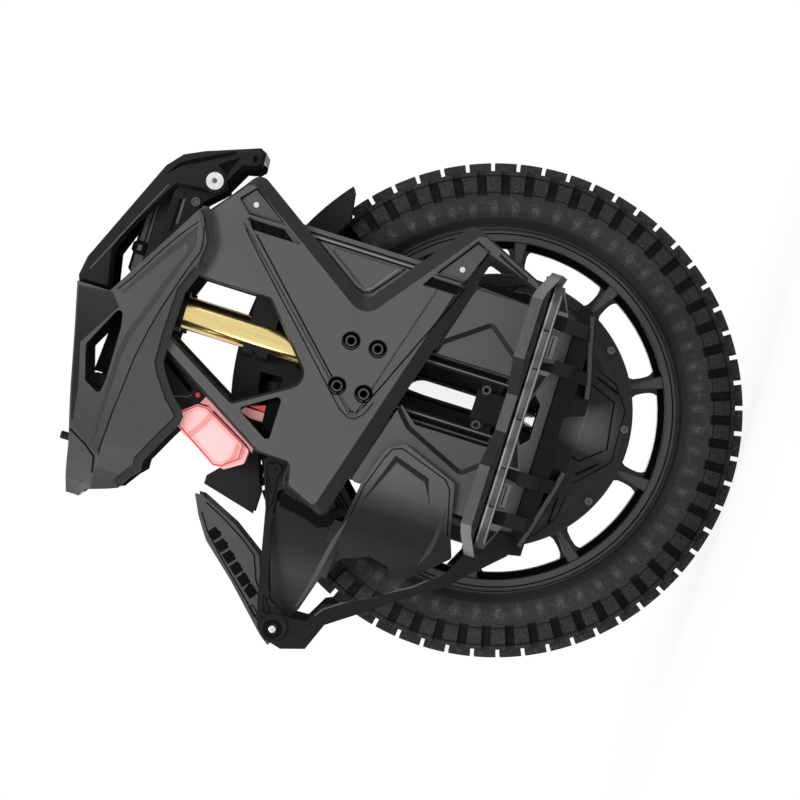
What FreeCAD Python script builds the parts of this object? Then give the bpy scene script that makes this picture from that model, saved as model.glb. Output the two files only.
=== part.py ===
import FreeCAD, Part
import math
import os
from FreeCAD import Vector

# Electric unicycle, millimetres. +X is forward, +Y is the left side, +Z is up.
# The origin is the point where the tyre stands on the ground, straight under the axle.

# Wheel
TYRE_HEIGHT = 72.0
TYRE_WIDTH = 82.0
RIM_SEAT_DIAMETER = 356.0
RIM_SEAT_GAP = 0.2
RIM_FLANGE_HEIGHT = 6.0
RIM_WIDTH = 66.0
RIM_FLANGE_THICKNESS = 4.0
RIM_BARREL_WALL = 8.0
RIM_WEB_THICKNESS = 24.0
SPOKE_COUNT = 10
SPOKE_FIRST_ANGLE = 9.0
SPOKE_WINDOW_ANGLE = 25.0
SPOKE_WINDOW_MARGIN = 2.0
SPOKE_WINDOW_CORNER = 8.0
SPOKE_RING_DEPTH = 41.0
HUB_WALL = 17.0
HUB_WIDTH = 76.0
KNOB_COUNT = 60
CENTRE_GROOVE_WIDTH = 4.5
CENTRE_GROOVE_DEPTH = 10.0
SHOULDER_GROOVE_WIDTH = 9.0
ROTOR_WALL = 11.0
ROTOR_WIDTH = 60.0
ROTOR_GAP = 0.1
STATOR_AIR_GAP = 1.9
STATOR_WIDTH = 44.0
STATOR_SLOTS = 36
STATOR_SLOT_WIDTH = 5.0
STATOR_SLOT_DEPTH = 22.0
COVER_EDGE = 1.0
COVER_RIM_THICKNESS = 4.0
COVER_CROWN = 3.0
COVER_RELIEF = 2.0
COVER_RELIEF_MARGIN = 34.0
COVER_RELIEF_BEVEL = 2.0
COVER_STEP_WIDTH = 14.0
COVER_STEP_RUN = 6.0
COVER_SCREW_INSET = 6.0
COVER_SCREW_DIAMETER = 5.0
COVER_SCREW_HEAD = 8.0
COVER_SCREW_HEAD_HEIGHT = 2.5
COVER_SCREW_LENGTH = 14.0
SCREW_CLEARANCE = 0.1
BEARING_DIAMETER = 42.0
BEARING_WIDTH = 7.0
BEARING_GAP = 0.05
AXLE_DIAMETER = 20.0
AXLE_LENGTH = 170.0
VALVE_DIAMETER = 6.0
VALVE_LENGTH = 26.0
VALVE_HEAD = 3.0

# Fork and the sliding axle carrier
FORK_TRACK = 150.0
FORK_TUBE_DIAMETER = 33.0
FORK_TUBE_BORE = 26.0
FORK_TUBE_BOTTOM = 120.0
FORK_SLIDER_DIAMETER = 25.0
FORK_SLIDER_TOP = 268.0
FORK_SLIDER_WALL = 3.0
FORK_SEAL_HEIGHT = 4.0
FORK_SEAL_GAP = 0.06
FORK_FIT_GAP = 0.05
FORK_FOOT_DIAMETER = 24.0
FORK_FOOT_LENGTH = 26.0
LUG_WIDTH = 33.0
LUG_BOTTOM = 14.0
LUG_TOP = 24.0
LUG_THICKNESS = 30.0
LUG_SOCKET_FLOOR = 11.0
SLIDE_BLOCK_WIDTH = 47.0
SLIDE_BLOCK_HEIGHT = 22.0
SLIDE_BLOCK_THICKNESS = 20.0
SLIDE_GAP = 0.3
CLAMP_BOLT_DIAMETER = 5.0
CLAMP_BOLT_HEAD = 8.5
CLAMP_BOLT_HEAD_HEIGHT = 3.0
CLAMP_BOLT_LENGTH = 12.0
CLAMP_BOLT_RISE = 12.0
CLAMP_BOLT_SPREAD = 37.0
RAIL_HEIGHT = 163.0
RAIL_THICKNESS = 28.0
RAIL_LIP = 5.0
RAIL_GROOVE = 6.0

# Close mudguard that moves with the wheel
HUGGER_GAP = 13.0
HUGGER_WALL = 3.0
HUGGER_WIDTH = 100.0
HUGGER_LIP = 27.0
HUGGER_FRONT_ANGLE = 50.0
HUGGER_REAR_ANGLE = 116.0
HUGGER_FIN_CUT = 24.0
STAY_THICKNESS = 3.0
STAY_FOOT_WIDTH = 44.0
STAY_TOP_WIDTH = 70.0
STAY_FOOT_DROP = 16.0
STAY_CORNER = 6.0
STAY_HOLE_SHARES = ((-0.20, 0.24), (0.20, 0.24), (0.30, 0.80), (-0.30, 0.80))

# Frame, seen from the side: outlines are shares of these two sizes about the bolt centre
FRAME_LENGTH = 380.0
FRAME_HEIGHT = 380.0
PLATE_CENTRE_RISE = 145.0
FRAME_INNER_GAP = 108.0
CASE_DEPTH = 42.0
CASE_WALL = 3.0
PACK_GAP = 0.3
PLATE_THICKNESS = 14.0
PLATE_BEVEL = 8.0
PLATE_GROOVE_WIDTH = 2.2
PLATE_GROOVE_DEPTH = 1.4
PLATE_GROOVE_STEP = 5.0
EAR_POCKET_DEPTH = 3.0
PLATE_BOLT_DIAMETER = 10.0
PLATE_BOLT_HEAD = 14.0
PLATE_BOLT_HEAD_HEIGHT = 4.0
PLATE_BOLT_SEAT = 16.0
PLATE_BOLT_SEAT_DEPTH = 5.0
PLATE_BOLT_SPREAD = 46.5
PLATE_BOLT_RISE = 27.5
BOLT_SOCKET = 6.0
BOLT_SOCKET_DEPTH = 2.0
EAR_SCREW_DIAMETER = 5.5
EAR_SCREW_HEIGHT = 1.2
COVER_THICKNESS = 5.0
COVER_STEP = 3.0
COVER_STEP_BAND = 5.0
COVER_STEP_ROUND = 8.0

# Rear fender, its upper and lower leaf seen from above in shares of its length and depth
FENDER_WALL = 4.0
FENDER_LENGTH = 210.0
FENDER_START = 56.0
FENDER_INSET = 45.0
FENDER_INNER_GAP = 116.0
FENDER_SHELF = 13.0

# Pedal hanger and pedals
HANGER_INNER_GAP = 116.0
HANGER_THICKNESS = 46.0
HANGER_SLOPE_START = 64.0
HANGER_SLOPE_RUN = 24.0
HANGER_SLOPE_FALL = 36.0
HANGER_RIB = 3.0
HANGER_RIB_WIDTH = 17.0
HINGE_RISE = -28.0
HINGE_TRACK = 250.0
HINGE_SPREAD = 158.0
HINGE_PIN_DIAMETER = 8.0
HINGE_PIN_GAP = 0.05
HINGE_BARREL_DIAMETER = 16.0
HINGE_BARREL_LENGTH = 28.0
HINGE_SIDE_GAP = 0.4
HINGE_LUG_THICKNESS = 14.0
HINGE_LUG_DROP = 40.0
HINGE_LUG_REACH = 25.0
HINGE_LUG_WAIST = 11.0
HINGE_LUG_SHOULDER = 22.0
PEDAL_LENGTH = 286.0
PEDAL_REACH = 110.0
PEDAL_START = 12.0
PEDAL_TILT = 6.0
PEDAL_RISE = 8.0
PEDAL_HEIGHT = 12.0
PEDAL_RIM_WIDTH = 9.0
PEDAL_DECK_THICKNESS = 4.0
PEDAL_DECK_DROP = 4.0
PEDAL_CELL_COLUMNS = 8
PEDAL_CELL_ROWS = 3
PEDAL_CELL_GAP = 6.0
PEDAL_CELL_MARGIN = 12.0
PEDAL_END_MARGIN = 24.0
PEDAL_CELL_CORNER = 4.0
STUD_DIAMETER = 4.0
STUD_HEIGHT = 4.0
RAIL_BAR_START = 14.0
RAIL_BAR_WIDTH = 16.0
RAIL_BAR_HEIGHT = 9.0
GUSSET_DROP = 12.0
GUSSET_RUN = 34.0
GUSSET_WIDTH = 8.0
LINK_HEIGHT = 10.0

# Rear mudguard and its arms
ARM_THICKNESS = 3.4
ARM_GAP = 0.2
ARM_INNER_TRACK = 176.0
ARM_POCKET_DEPTH = 1.4
ARM_SCREW_DIAMETER = 6.0
ARM_SCREW_HEAD = 11.0
ARM_SCREW_HEAD_HEIGHT = 3.0
ARM_SCREW_LENGTH = 12.0
ARM_LUG_SIZE = 22.0
ARM_LUG_DEPTH = 13.0
PIVOT_TUBE_DIAMETER = 12.0
PIVOT_CAP_DIAMETER = 26.0
PIVOT_CAP_THICKNESS = 3.0
PIVOT_SCREW_DIAMETER = 8.0
PIVOT_SCREW_HEIGHT = 1.5
PIVOT_GAP = 0.05
FLAP_WIDTH = 116.0
FLAP_WALL = 3.0
FLAP_NOTCH_WIDTH = 106.0
FLAP_NOTCH_LENGTH = 192.0
VENT_COUNT = 6
VENT_WIDTH = 6.0
VENT_LENGTH = 9.0
VENT_LEAN = 20.0
VENT_MARGIN = 14.0
VENT_TOP_LENGTH = 22.0

# Tail lights
LIGHT_INNER_GAP = 120.0
LIGHT_DEPTH = 34.0

# Head
HEAD_LENGTH = 314.0
HEAD_REAR = -208.0
HEAD_HEIGHT = 142.0
HEAD_BOTTOM = 296.0
HEAD_SIDE_ROOM = 24.0
HEAD_WALL = 5.0
HEAD_BAND = 9.0
HEAD_BAND_TUCK = 2.5
HEAD_SKIRT = 60.0
ROOF_WIDTH = 76.0
HEAD_PAD_WIDTH = 26.0
HEAD_PAD_HEIGHT = 12.0
HEAD_PAD_X = 46.0
HEAD_PAD_RISE = 325.0
VISOR_WIDTH = 152.0
VISOR_SIDE_WALL = 6.0
VISOR_SKIN = 5.0
VISOR_BEVEL = 4.0
VISOR_POCKET_DEPTH = 3.0
VISOR_BOLT_DIAMETER = 10.0
VISOR_BOLT_HEAD = 17.5
VISOR_BOLT_HEAD_HEIGHT = 2.5
VISOR_BOLT_LENGTH = 16.0
VISOR_BOSS_DIAMETER = 24.0
VISOR_BOSS_HEIGHT = 1.5
HEADLIGHT_WIDTH = 84.0
HEADLIGHT_HEIGHT = 34.0
HEADLIGHT_CORNER = 8.0
HEADLIGHT_LIP = 3.0
HEADLIGHT_GAP = 0.2
CROWN_LENGTH = 150.0
CROWN_THICKNESS = 10.0
CROWN_RISE = 345.0
COLLAR_DIAMETER = 41.0
COLLAR_HEIGHT = 20.0
BRACKET_THICKNESS = 8.0
BRACKET_GAP = 0.1
REAR_BRACKET_TRACK = 160.0
LOWER_CLAMP_RISE = 234.0
LOWER_CLAMP_HEIGHT = 26.0
LOWER_CLAMP_INNER = 20.0
LOWER_CLAMP_OUTER = 13.0
LOWER_CLAMP_REACH = 24.0
CONTROLLER_LENGTH = 212.0
CONTROLLER_REAR = -100.0
CONTROLLER_WIDTH = 116.0
CONTROLLER_HEIGHT = 31.0
CONTROLLER_WALL = 3.0
CONTROLLER_FIN_COUNT = 12
CONTROLLER_FIN_DEPTH = 4.0
CONTROLLER_FIN_WIDTH = 4.0
BOARD_THICKNESS = 2.0
BOARD_GAP = 0.3
BOARD_CHIP_COUNT = 6
BOARD_CHIP_SIZE = 14.0
BOARD_CHIP_HEIGHT = 8.0
BUTTON_DIAMETER = 8.0
BUTTON_X = -155.0
BUTTON_TOP = 412.0
BUTTON_GAP = 0.3
BUTTON_BOSS_DIAMETER = 18.0
BUTTON_BOSS_FLOOR = 384.0
BUTTON_FLANGE_DIAMETER = 13.0
BUTTON_FLANGE_HEIGHT = 3.0
BUTTON_ROUNDING = 1.2
PORT_X = 62.0
PORT_RISE = 288.0
PORT_DIAMETER = 22.0
PORT_FLANGE_DIAMETER = 28.0
PORT_FLANGE_THICKNESS = 2.0
PORT_BORE = 16.0
PORT_BORE_DEPTH = 12.0
PORT_FLOOR = 3.0
PORT_GAP = 0.1

# Overrun of cuts, small roundings, and the angle in degrees above which a corner counts as straight
STRAIGHT_ANGLE = 178.0
OVER = 2.0
SMALL_ROUND = 1.0
CORNER_ROUND = 4.0
EAR_ROUND = 10.0

# Tyre section: shares of half its width and of its height above the rim seat
TYRE_OUTER_SHARES = (
    (0.0, 1.0), (0.52, 0.985), (0.55, 0.852), (0.60, 0.84), (0.635, 0.875), (0.965, 0.665), (1.0, 0.60),
    (0.975, 0.47), (0.955, 0.31), (0.90, 0.22), (0.70, 0.112), (0.70, 0.0))
TYRE_INNER_SHARES = ((0.58, 0.0), (0.58, 0.10), (0.80, 0.30), (0.83, 0.47), (0.49, 0.74), (0.0, 0.80))
SHOULDER_CUT_SHARES = ((0.61, 1.06), (0.61, 0.795), (1.04, 0.475), (1.12, 1.06))

# Side plate outline, its corner radii in shares of the ear rounding and its bevel in shares of the height
PLATE_SHARES = (
    (-0.075, 0.555), (-0.0325, 0.555), (-0.185, 0.285), (-0.0775, 0.1125), (0.10, 0.2725), (0.10, 0.508),
    (0.253, 0.508), (0.3275, 0.4475), (0.4075, 0.39), (0.17, 0.03), (0.445, -0.18), (0.351, -0.39),
    (0.326, -0.39), (0.3725, -0.255), (-0.404, -0.031),
    (-0.355, 0.0825), (-0.295, 0.0975), (-0.2925, 0.185))
PLATE_ROUND_SHARES = (
    0.1, 0.1, 0.5, 1.4, 0.4, 0.1, 0.1, 0.4, 1.1, 0.6, 1.0, 0.2, 0.2, 0.3, 0.8, 0.4, 0.4, 0.4)
PLATE_BEVEL_SHARES = (
    0.004, 0.007, 0.007, 0.007, 0.004, 0.004, 0.006, 0.006, 0.034, 0.034, 0.006, 0.004, 0.006, 0.036,
    0.008, 0.006, 0.006, 0.008)
PLATE_HOLE_SHARES = ((-0.1975, 0.2675), (-0.26, 0.1625), (-0.13, 0.1625))
PLATE_GROOVE_SHARES = ((0.288, 0.418), (-0.128, -0.016), (-0.125, -0.034), (0.30, -0.155))
EAR_POCKETS_SHARES = (
    ((0.2975, 0.392), (0.327, 0.425), (0.366, 0.389), (0.2975, 0.29)),
    ((0.2575, 0.368), (0.2875, 0.388), (0.2875, 0.275), (0.2575, 0.232)),
    ((0.294, -0.122), (0.408, -0.202), (0.388, -0.236), (0.294, -0.202)),
    ((0.2525, -0.096), (0.283, -0.116), (0.283, -0.20), (0.2525, -0.192)))
EAR_SCREW_SHARES = ((0.3225, 0.378), (0.3225, -0.185))
FRONT_CASE_SHARES = (
    (0.105, -0.4825), (0.2825, -0.4825), (0.295, -0.235), (0.3125, -0.10), (0.3125, 0.255), (0.25, 0.526),
    (0.105, 0.526))
REAR_CASE_SHARES = (
    (-0.105, -0.4825), (-0.105, 0.10), (-0.13, 0.1425), (-0.25, 0.1425), (-0.2875, 0.105), (-0.2875, -0.4825))
CASE_PANEL_SHARES = ((0.185, 0.03), (0.2825, 0.176), (0.2825, -0.052))
LOWER_COVER_SHARES = ((-0.29, -0.51), (0.285, -0.51), (0.285, -0.236), (-0.29, -0.071))
COVER_WINDOW_SHARES = (
    (-0.10, -0.4375), (-0.0475, -0.485), (0.0475, -0.485), (0.095, -0.4375), (0.095, 0.0), (-0.06, 0.0),
    (-0.06, -0.14), (-0.10, -0.1875))
COVER_STEP_SHARES = (
    (-0.1925, -0.34), (-0.1175, -0.17), (-0.0675, -0.1225), (0.13, -0.185), (0.2175, -0.3025), (0.155, -0.3825),
    (0.125, -0.42), (-0.125, -0.42), (-0.1575, -0.3825))
HANGER_SHARES = (
    (-0.285, -0.513), (0.325, -0.513), (0.325, -0.535), (0.305, -0.555), (0.1125, -0.605), (-0.1125, -0.605),
    (-0.30, -0.56), (-0.32, -0.545))
HANGER_NOTCH_SHARES = ((-0.066, -0.64), (-0.036, -0.553), (0.036, -0.553), (0.066, -0.64))
HANGER_RIB_SHARES = (-0.275, -0.1275, 0.12, 0.285)
HANGER_LUG_SHARES = (
    (-0.29, -0.555), (-0.345, -0.555), (-0.352, -0.52), (-0.335, -0.475), (-0.30, -0.475), (-0.296, -0.49))
LIGHT_LENS_SHARES = (
    (-0.302, 0.39), (-0.25, 0.395), (-0.222, 0.345), (-0.232, 0.305), (-0.295, 0.205), (-0.332, 0.2075),
    (-0.3625, 0.255))
LIGHT_HOUSING_SHARES = ((-0.30, 0.19), (-0.232, 0.325), (-0.175, 0.325), (-0.2575, 0.19))
REAR_BRACKET_SHARES = (
    (-0.222, 0.356), (-0.196, 0.352), (-0.105, 0.485), (-0.0875, 0.54), (-0.1875, 0.54), (-0.24, 0.402))
REAR_BRACKET_SLOT_SHARES = ((-0.196, 0.40), (-0.186, 0.392), (-0.128, 0.478), (-0.138, 0.486))
FENDER_LOWER_SHARES = (
    (-0.155, -0.18), (-0.18, -0.1375), (-0.2875, -0.10), (-0.555, -0.065), (-0.4925, -0.11), (-0.465, -0.18),
    (-0.4775, -0.2325), (-0.535, -0.26), (-0.49, -0.2925), (-0.405, -0.385), (-0.345, -0.3625), (-0.215, -0.3325))
FENDER_UPPER_SHARES = (
    (-0.29, -0.02), (-0.29, 0.08), (-0.3875, 0.09), (-0.4625, 0.095), (-0.60, 0.0325), (-0.675, -0.005),
    (-0.6875, -0.0175), (-0.655, -0.0425), (-0.555, -0.0725), (-0.40, -0.068))
FENDER_RIDGE_SHARES = ((-0.29, -0.0995), (-0.29, -0.02), (-0.40, -0.0625), (-0.555, -0.0525), (-0.555, -0.065))
FENDER_PLAN_LOWER_SHARES = ((0.0, 0.0), (0.27, 0.0), (0.50, 0.30), (0.72, 0.80), (1.0, 1.0))
FENDER_PLAN_UPPER_SHARES = ((0.22, 0.30), (0.45, 0.36), (0.75, 0.62), (1.0, 0.84))
UPPER_ARM_SHARES = (
    (-0.745, -0.03), (-0.755, 0.018), (-0.728, 0.046), (-0.665, 0.066), (-0.425, 0.119), (-0.306, 0.162),
    (-0.293, 0.15), (-0.293, 0.105), (-0.412, 0.10), (-0.462, 0.093), (-0.655, 0.04), (-0.682, -0.02),
    (-0.71, -0.036))
UPPER_ARM_POCKET_SHARES = ((-0.395, 0.115), (-0.345, 0.136), (-0.345, 0.114))
LOWER_ARM_SHARES = (
    (-0.75, 0.026), (-0.764, -0.028), (-0.745, -0.09), (-0.67, -0.12), (-0.592, -0.23), (-0.475, -0.395),
    (-0.356, -0.52), (-0.328, -0.53), (-0.303, -0.51), (-0.298, -0.475), (-0.308, -0.455), (-0.388, -0.41),
    (-0.448, -0.38), (-0.568, -0.215), (-0.622, -0.10), (-0.678, -0.07), (-0.68, 0.005), (-0.705, 0.036))
LOWER_ARM_POCKET_SHARES = ((-0.385, -0.435), (-0.35, -0.453), (-0.366, -0.478))
PIVOT_SHARES = ((-0.715, 0.005),)
UPPER_ARM_END_SHARES = ((-0.32, 0.1225),)
LOWER_ARM_END_SHARES = ((-0.3275, -0.50),)
FLAP_SHARES = (
    (-0.445, 0.31), (-0.50, 0.2825), (-0.555, 0.245), (-0.6375, 0.15), (-0.75, 0.035), (-0.77, 0.0075),
    (-0.725, -0.022), (-0.69, -0.02), (-0.655, 0.0425), (-0.62, 0.075), (-0.55, 0.10), (-0.4925, 0.185),
    (-0.445, 0.29))
FLAP_INNER_SHARES = (
    (-0.40, 0.30), (-0.445, 0.298), (-0.495, 0.272), (-0.548, 0.236), (-0.63, 0.142), (-0.742, 0.028),
    (-0.80, -0.05), (-0.69, -0.10), (-0.40, 0.10))
VENT_LINE_SHARES = ((-0.642, 0.098), (-0.532, 0.222))
VENT_TOP_LINE_SHARES = ((-0.66, 0.12), (-0.535, 0.252))
HUGGER_TAIL_SHARES = (
    (-0.415, 0.295), (-0.392, 0.295), (-0.352, 0.258), (-0.292, 0.218), (-0.292, 0.185), (-0.395, 0.148),
    (-0.452, 0.148))
HUGGER_TAIL_INNER_SHARES = (
    (-0.44, 0.282), (-0.397, 0.282), (-0.36, 0.247), (-0.30, 0.208), (-0.25, 0.19), (-0.25, 0.10), (-0.50, 0.10))

# Head sections from rear to front: shares of length, then crease and top in shares of the height, then
# the half widths at crease and top in shares of half the width
HEAD_STATION_SHARES = (
    (0.0, 0.50, 0.65, 0.29, 0.19),
    (0.046, 0.495, 0.678, 0.51, 0.31),
    (0.08, 0.488, 0.693, 0.63, 0.375),
    (0.11, 0.482, 0.705, 0.72, 0.425),
    (0.146, 0.477, 0.718, 0.80, 0.47),
    (0.20, 0.474, 0.748, 0.88, 0.515),
    (0.267, 0.47, 0.787, 0.945, 0.55),
    (0.334, 0.465, 0.825, 0.977, 0.572),
    (0.4025, 0.455, 0.86, 0.99, 0.586),
    (0.49, 0.437, 0.905, 0.998, 0.60),
    (0.584, 0.402, 0.957, 1.0, 0.61),
    (0.662, 0.362, 1.0, 1.0, 0.615),
    (0.72, 0.325, 1.0, 1.0, 0.615),
    (0.78, 0.28, 1.0, 1.0, 0.615),
    (0.85, 0.235, 0.965, 1.0, 0.605),
    (0.901, 0.228, 0.935, 0.998, 0.595),
    (1.0, 0.34, 0.87, 0.99, 0.564))
HEAD_LOWER_SHARES = (
    (-0.02, 0.58), (0.028, 0.517), (0.0525, 0.36), (0.066, 0.289), (0.114, 0.22), (0.14, 0.168), (0.171, 0.172),
    (0.265, 0.068), (0.32, -0.002), (0.347, -0.009), (0.366, 0.018), (0.402, 0.104), (0.463, 0.202), (0.493, 0.235),
    (0.584, 0.24), (0.72, 0.234), (0.78, 0.185), (0.825, 0.145), (0.876, 0.132), (0.90, 0.132), (0.982, 0.218),
    (1.02, 0.29), (1.02, 1.2), (-0.02, 1.2))
HEAD_LEAN_SHARE = 0.10
HEAD_FRONT_CUT_SHARES = ((0.656, 1.40), (0.656, 0.75), (1.02, 0.268), (1.30, 0.268), (1.30, 1.40))
HEAD_WINDOW_SHARES = (
    (0.332, 0.60), (0.362, 0.732), (0.472, 0.805), (0.632, 0.625), (0.556, 0.592), (0.39, 0.585))
TAIL_CAP_SHARES = ((-0.10, 0.475), (0.146, 0.475), (0.255, 0.92), (-0.10, 0.92))
VISOR_SHARES = (
    (0.656, 0.985), (0.676, 1.0), (0.738, 0.98), (1.09, 0.645), (1.14, 0.55), (1.17, 0.413), (1.232, 0.046),
    (1.222, -0.002), (1.177, -0.009), (1.161, 0.025), (1.152, 0.113), (1.081, 0.195), (1.054, 0.229),
    (1.045, 0.317), (1.035, 0.521), (0.851, 0.752), (0.783, 0.806), (0.656, 0.75))
VISOR_INNER_SHARES = (
    (0.60, 0.945), (0.676, 0.96), (0.733, 0.942), (1.079, 0.61), (1.126, 0.523), (1.153, 0.40), (1.206, 0.085),
    (1.18, -0.10), (0.95, -0.10), (0.95, 0.30), (0.80, 0.60), (0.60, 0.60))
VISOR_POCKETS_SHARES = (
    ((1.064, 0.625), (1.11, 0.56), (1.135, 0.47), (1.20, 0.20), (1.188, 0.19), (1.125, 0.43), (1.10, 0.535)),
    ((1.14, 0.30), (1.185, 0.16), (1.115, 0.215)),
    ((1.178, 0.066), (1.202, 0.078), (1.203, 0.042), (1.186, 0.032)))
VISOR_BOLT_SHARES = ((1.088, 0.284),)
FRONT_BRACKET_SHARES = (
    (0.866, 0.35), (0.866, 0.54), (1.03, 0.54), (1.118, 0.335), (1.112, 0.22), (1.075, 0.185), (1.02, 0.31),
    (0.98, 0.35))
COVER_SIDES = 6

# Pedal in plan and from the side: shares of its length, then of its reach or of its height
PEDAL_PLAN_SHARES = (
    (-0.46, 0.0), (0.46, 0.0), (0.50, 0.14), (0.50, 0.80), (0.40, 1.0), (0.19, 1.0), (0.065, 0.94), (-0.065, 0.94),
    (-0.19, 1.0), (-0.40, 1.0), (-0.50, 0.80), (-0.50, 0.14))
PEDAL_PROFILE_SHARES = (
    (-0.52, -0.95), (-0.43, -0.04), (-0.40, 0.10), (-0.19, 0.10), (-0.065, -0.24), (0.065, -0.24), (0.19, 0.10),
    (0.40, 0.10), (0.43, -0.04), (0.52, -0.95), (0.52, -0.05), (0.43, 0.86), (0.40, 1.0), (0.19, 1.0),
    (0.065, 0.66), (-0.065, 0.66), (-0.19, 1.0), (-0.40, 1.0), (-0.43, 0.86), (-0.52, -0.05))
PEDAL_BAR_SHARE = 0.47

# Sizes that follow from the ones above
TYRE_DIAMETER = RIM_SEAT_DIAMETER + TYRE_HEIGHT * 2
AXLE_Z = TYRE_DIAMETER / 2
SEAT_R = RIM_SEAT_DIAMETER / 2
HUB_DIAMETER = RIM_SEAT_DIAMETER - SPOKE_RING_DEPTH * 2
HUB_BORE = HUB_DIAMETER - HUB_WALL * 2
STATOR_DIAMETER = HUB_BORE - (ROTOR_GAP + ROTOR_WALL + STATOR_AIR_GAP) * 2
COVER_DIAMETER = HUB_DIAMETER - COVER_EDGE * 2
COVER_RELIEF_DIAMETER = COVER_DIAMETER - COVER_RELIEF_MARGIN * 2
COVER_SCREW_CIRCLE = COVER_DIAMETER - COVER_SCREW_INSET * 2
HUGGER_RADIUS = TYRE_DIAMETER / 2 + HUGGER_GAP
FRAME_Z = AXLE_Z + PLATE_CENTRE_RISE
CASE_IN = FRAME_INNER_GAP / 2
CASE_OUT = CASE_IN + CASE_DEPTH
PLATE_OUT = CASE_OUT + PLATE_THICKNESS
COVER_OUT = CASE_OUT + COVER_THICKNESS
FORK_Y = FORK_TRACK / 2
HUGGER_Y = HUGGER_WIDTH / 2
HINGE_Y = HINGE_TRACK / 2
HINGE_Z = AXLE_Z + HINGE_RISE
ARM_IN = ARM_INNER_TRACK / 2
ARM_MID = ARM_IN + ARM_THICKNESS
ARM_OUT = ARM_MID + ARM_GAP + ARM_THICKNESS
HANGER_IN = HANGER_INNER_GAP / 2
HANGER_OUT = HANGER_IN + HANGER_THICKNESS
CROWN_Z = AXLE_Z + CROWN_RISE
CROWN_TOP = CROWN_Z + CROWN_THICKNESS
HEAD_Z = AXLE_Z + HEAD_BOTTOM
CHANNEL_X = FRONT_CASE_SHARES[0][0] * FRAME_LENGTH
VISOR_Y = VISOR_WIDTH / 2
HEAD_WIDTH = (CASE_OUT + HEAD_SIDE_ROOM) * 2

Y_AXIS = Vector(0, 1, 0)
X_AXIS = Vector(1, 0, 0)
Z_AXIS = Vector(0, 0, 1)
ORIGIN = Vector(0, 0, 0)
AXLE_CENTRE = Vector(0, 0, AXLE_Z)
QUARTER_TURN = 90


def on_frame(shares):
    """Side-view points of the frame from their shares."""
    return [(sx * FRAME_LENGTH, FRAME_Z + sz * FRAME_HEIGHT) for sx, sz in shares]


def on_head(shares):
    """Side-view points of the head from their shares."""
    return [(HEAD_REAR + sx * HEAD_LENGTH, HEAD_Z + sz * HEAD_HEIGHT) for sx, sz in shares]


def corner_arc(before, corner, after, radius):
    """Start, middle and end of the arc that rounds one corner."""
    first = (before - corner).normalize()
    second = (after - corner).normalize()
    half = first.getAngle(second) / 2
    setback = radius / math.tan(half)
    spine = (first + second).normalize()
    centre = corner + spine * (radius / math.sin(half))
    return corner + first * setback, centre - spine * radius, corner + second * setback


def closed_edges(corners, radii):
    """Straight runs in order, with a tangent arc at each corner that has a radius and really turns."""
    count = len(corners)
    arcs = []
    for i in range(count):
        corner = corners[i]
        before = corners[i - 1]
        after = corners[(i + 1) % count]
        turns = math.degrees((before - corner).getAngle(after - corner)) < STRAIGHT_ANGLE
        if radii[i] > 0 and turns:
            arcs.append(corner_arc(before, corner, after, radii[i]))
        else:
            arcs.append((corner, None, corner))
    edges = []
    for i in range(count):
        start, middle, end = arcs[i]
        if middle:
            edges.append(Part.Arc(start, middle, end).toShape())
        edges.append(Part.makeLine(end, arcs[(i + 1) % count][0]))
    return edges


def closed_wire(corners, radii):
    """Closed wire of those runs and arcs."""
    return Part.Wire(closed_edges(corners, radii))


def side_edges(points, radii, y):
    """Edges of a side outline at one y, in order."""
    return closed_edges([Vector(x, y, z) for x, z in points], radii)


def side_wire(points, radii, y):
    """Closed wire in the side plane at one y."""
    return closed_wire([Vector(x, y, z) for x, z in points], radii)


def even(points, radius):
    """One corner radius for every point."""
    return [radius] * len(points)


def slab(points, radii, y_from, y_to):
    """Side outline pulled from one y to another."""
    face = Part.Face(side_wire(points, radii, y_from))
    return face.extrude(Vector(0, y_to - y_from, 0))


def prism(points, y_from, y_to):
    """Side outline with sharp corners pulled from one y to another."""
    return slab(points, even(points, 0), y_from, y_to)


def turn_sign(points):
    """Plus one for an outline that runs counter-clockwise, minus one for the other way."""
    area = 0
    for i in range(len(points)):
        area += points[i - 1][0] * points[i][1] - points[i][0] * points[i - 1][1]
    return math.copysign(1, area)


def inset(points, insets):
    """Outline with the edge that leaves each point moved inwards by its own inset."""
    sign = turn_sign(points)
    count = len(points)
    lines = []
    for i in range(count):
        x0, z0 = points[i]
        x1, z1 = points[(i + 1) % count]
        length = math.hypot(x1 - x0, z1 - z0)
        dx = (x1 - x0) / length
        dz = (z1 - z0) / length
        lines.append((x0 - sign * dz * insets[i], z0 + sign * dx * insets[i], dx, dz))
    moved = []
    for i in range(count):
        x0, z0, dx0, dz0 = lines[i - 1]
        x1, z1, dx1, dz1 = lines[i]
        cross = dx0 * dz1 - dz0 * dx1
        run = ((x1 - x0) * dz1 - (z1 - z0) * dx1) / cross
        moved.append((x0 + dx0 * run, z0 + dz0 * run))
    return moved


def inset_radii(points, radii, insets):
    """Corner radii after the inset: outer corners get smaller, inner corners larger."""
    sign = turn_sign(points)
    count = len(points)
    moved = []
    for i in range(count):
        x0, z0 = points[i - 1]
        x1, z1 = points[i]
        x2, z2 = points[(i + 1) % count]
        cross = (x1 - x0) * (z2 - z1) - (z1 - z0) * (x2 - x1)
        step = min(insets[i - 1], insets[i])
        grown = radii[i] + step if radii[i] > 0 else 0
        shrunk = max(radii[i] - step, radii[i] / 2)
        moved.append(shrunk if cross * sign > 0 else grown)
    return moved


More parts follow.
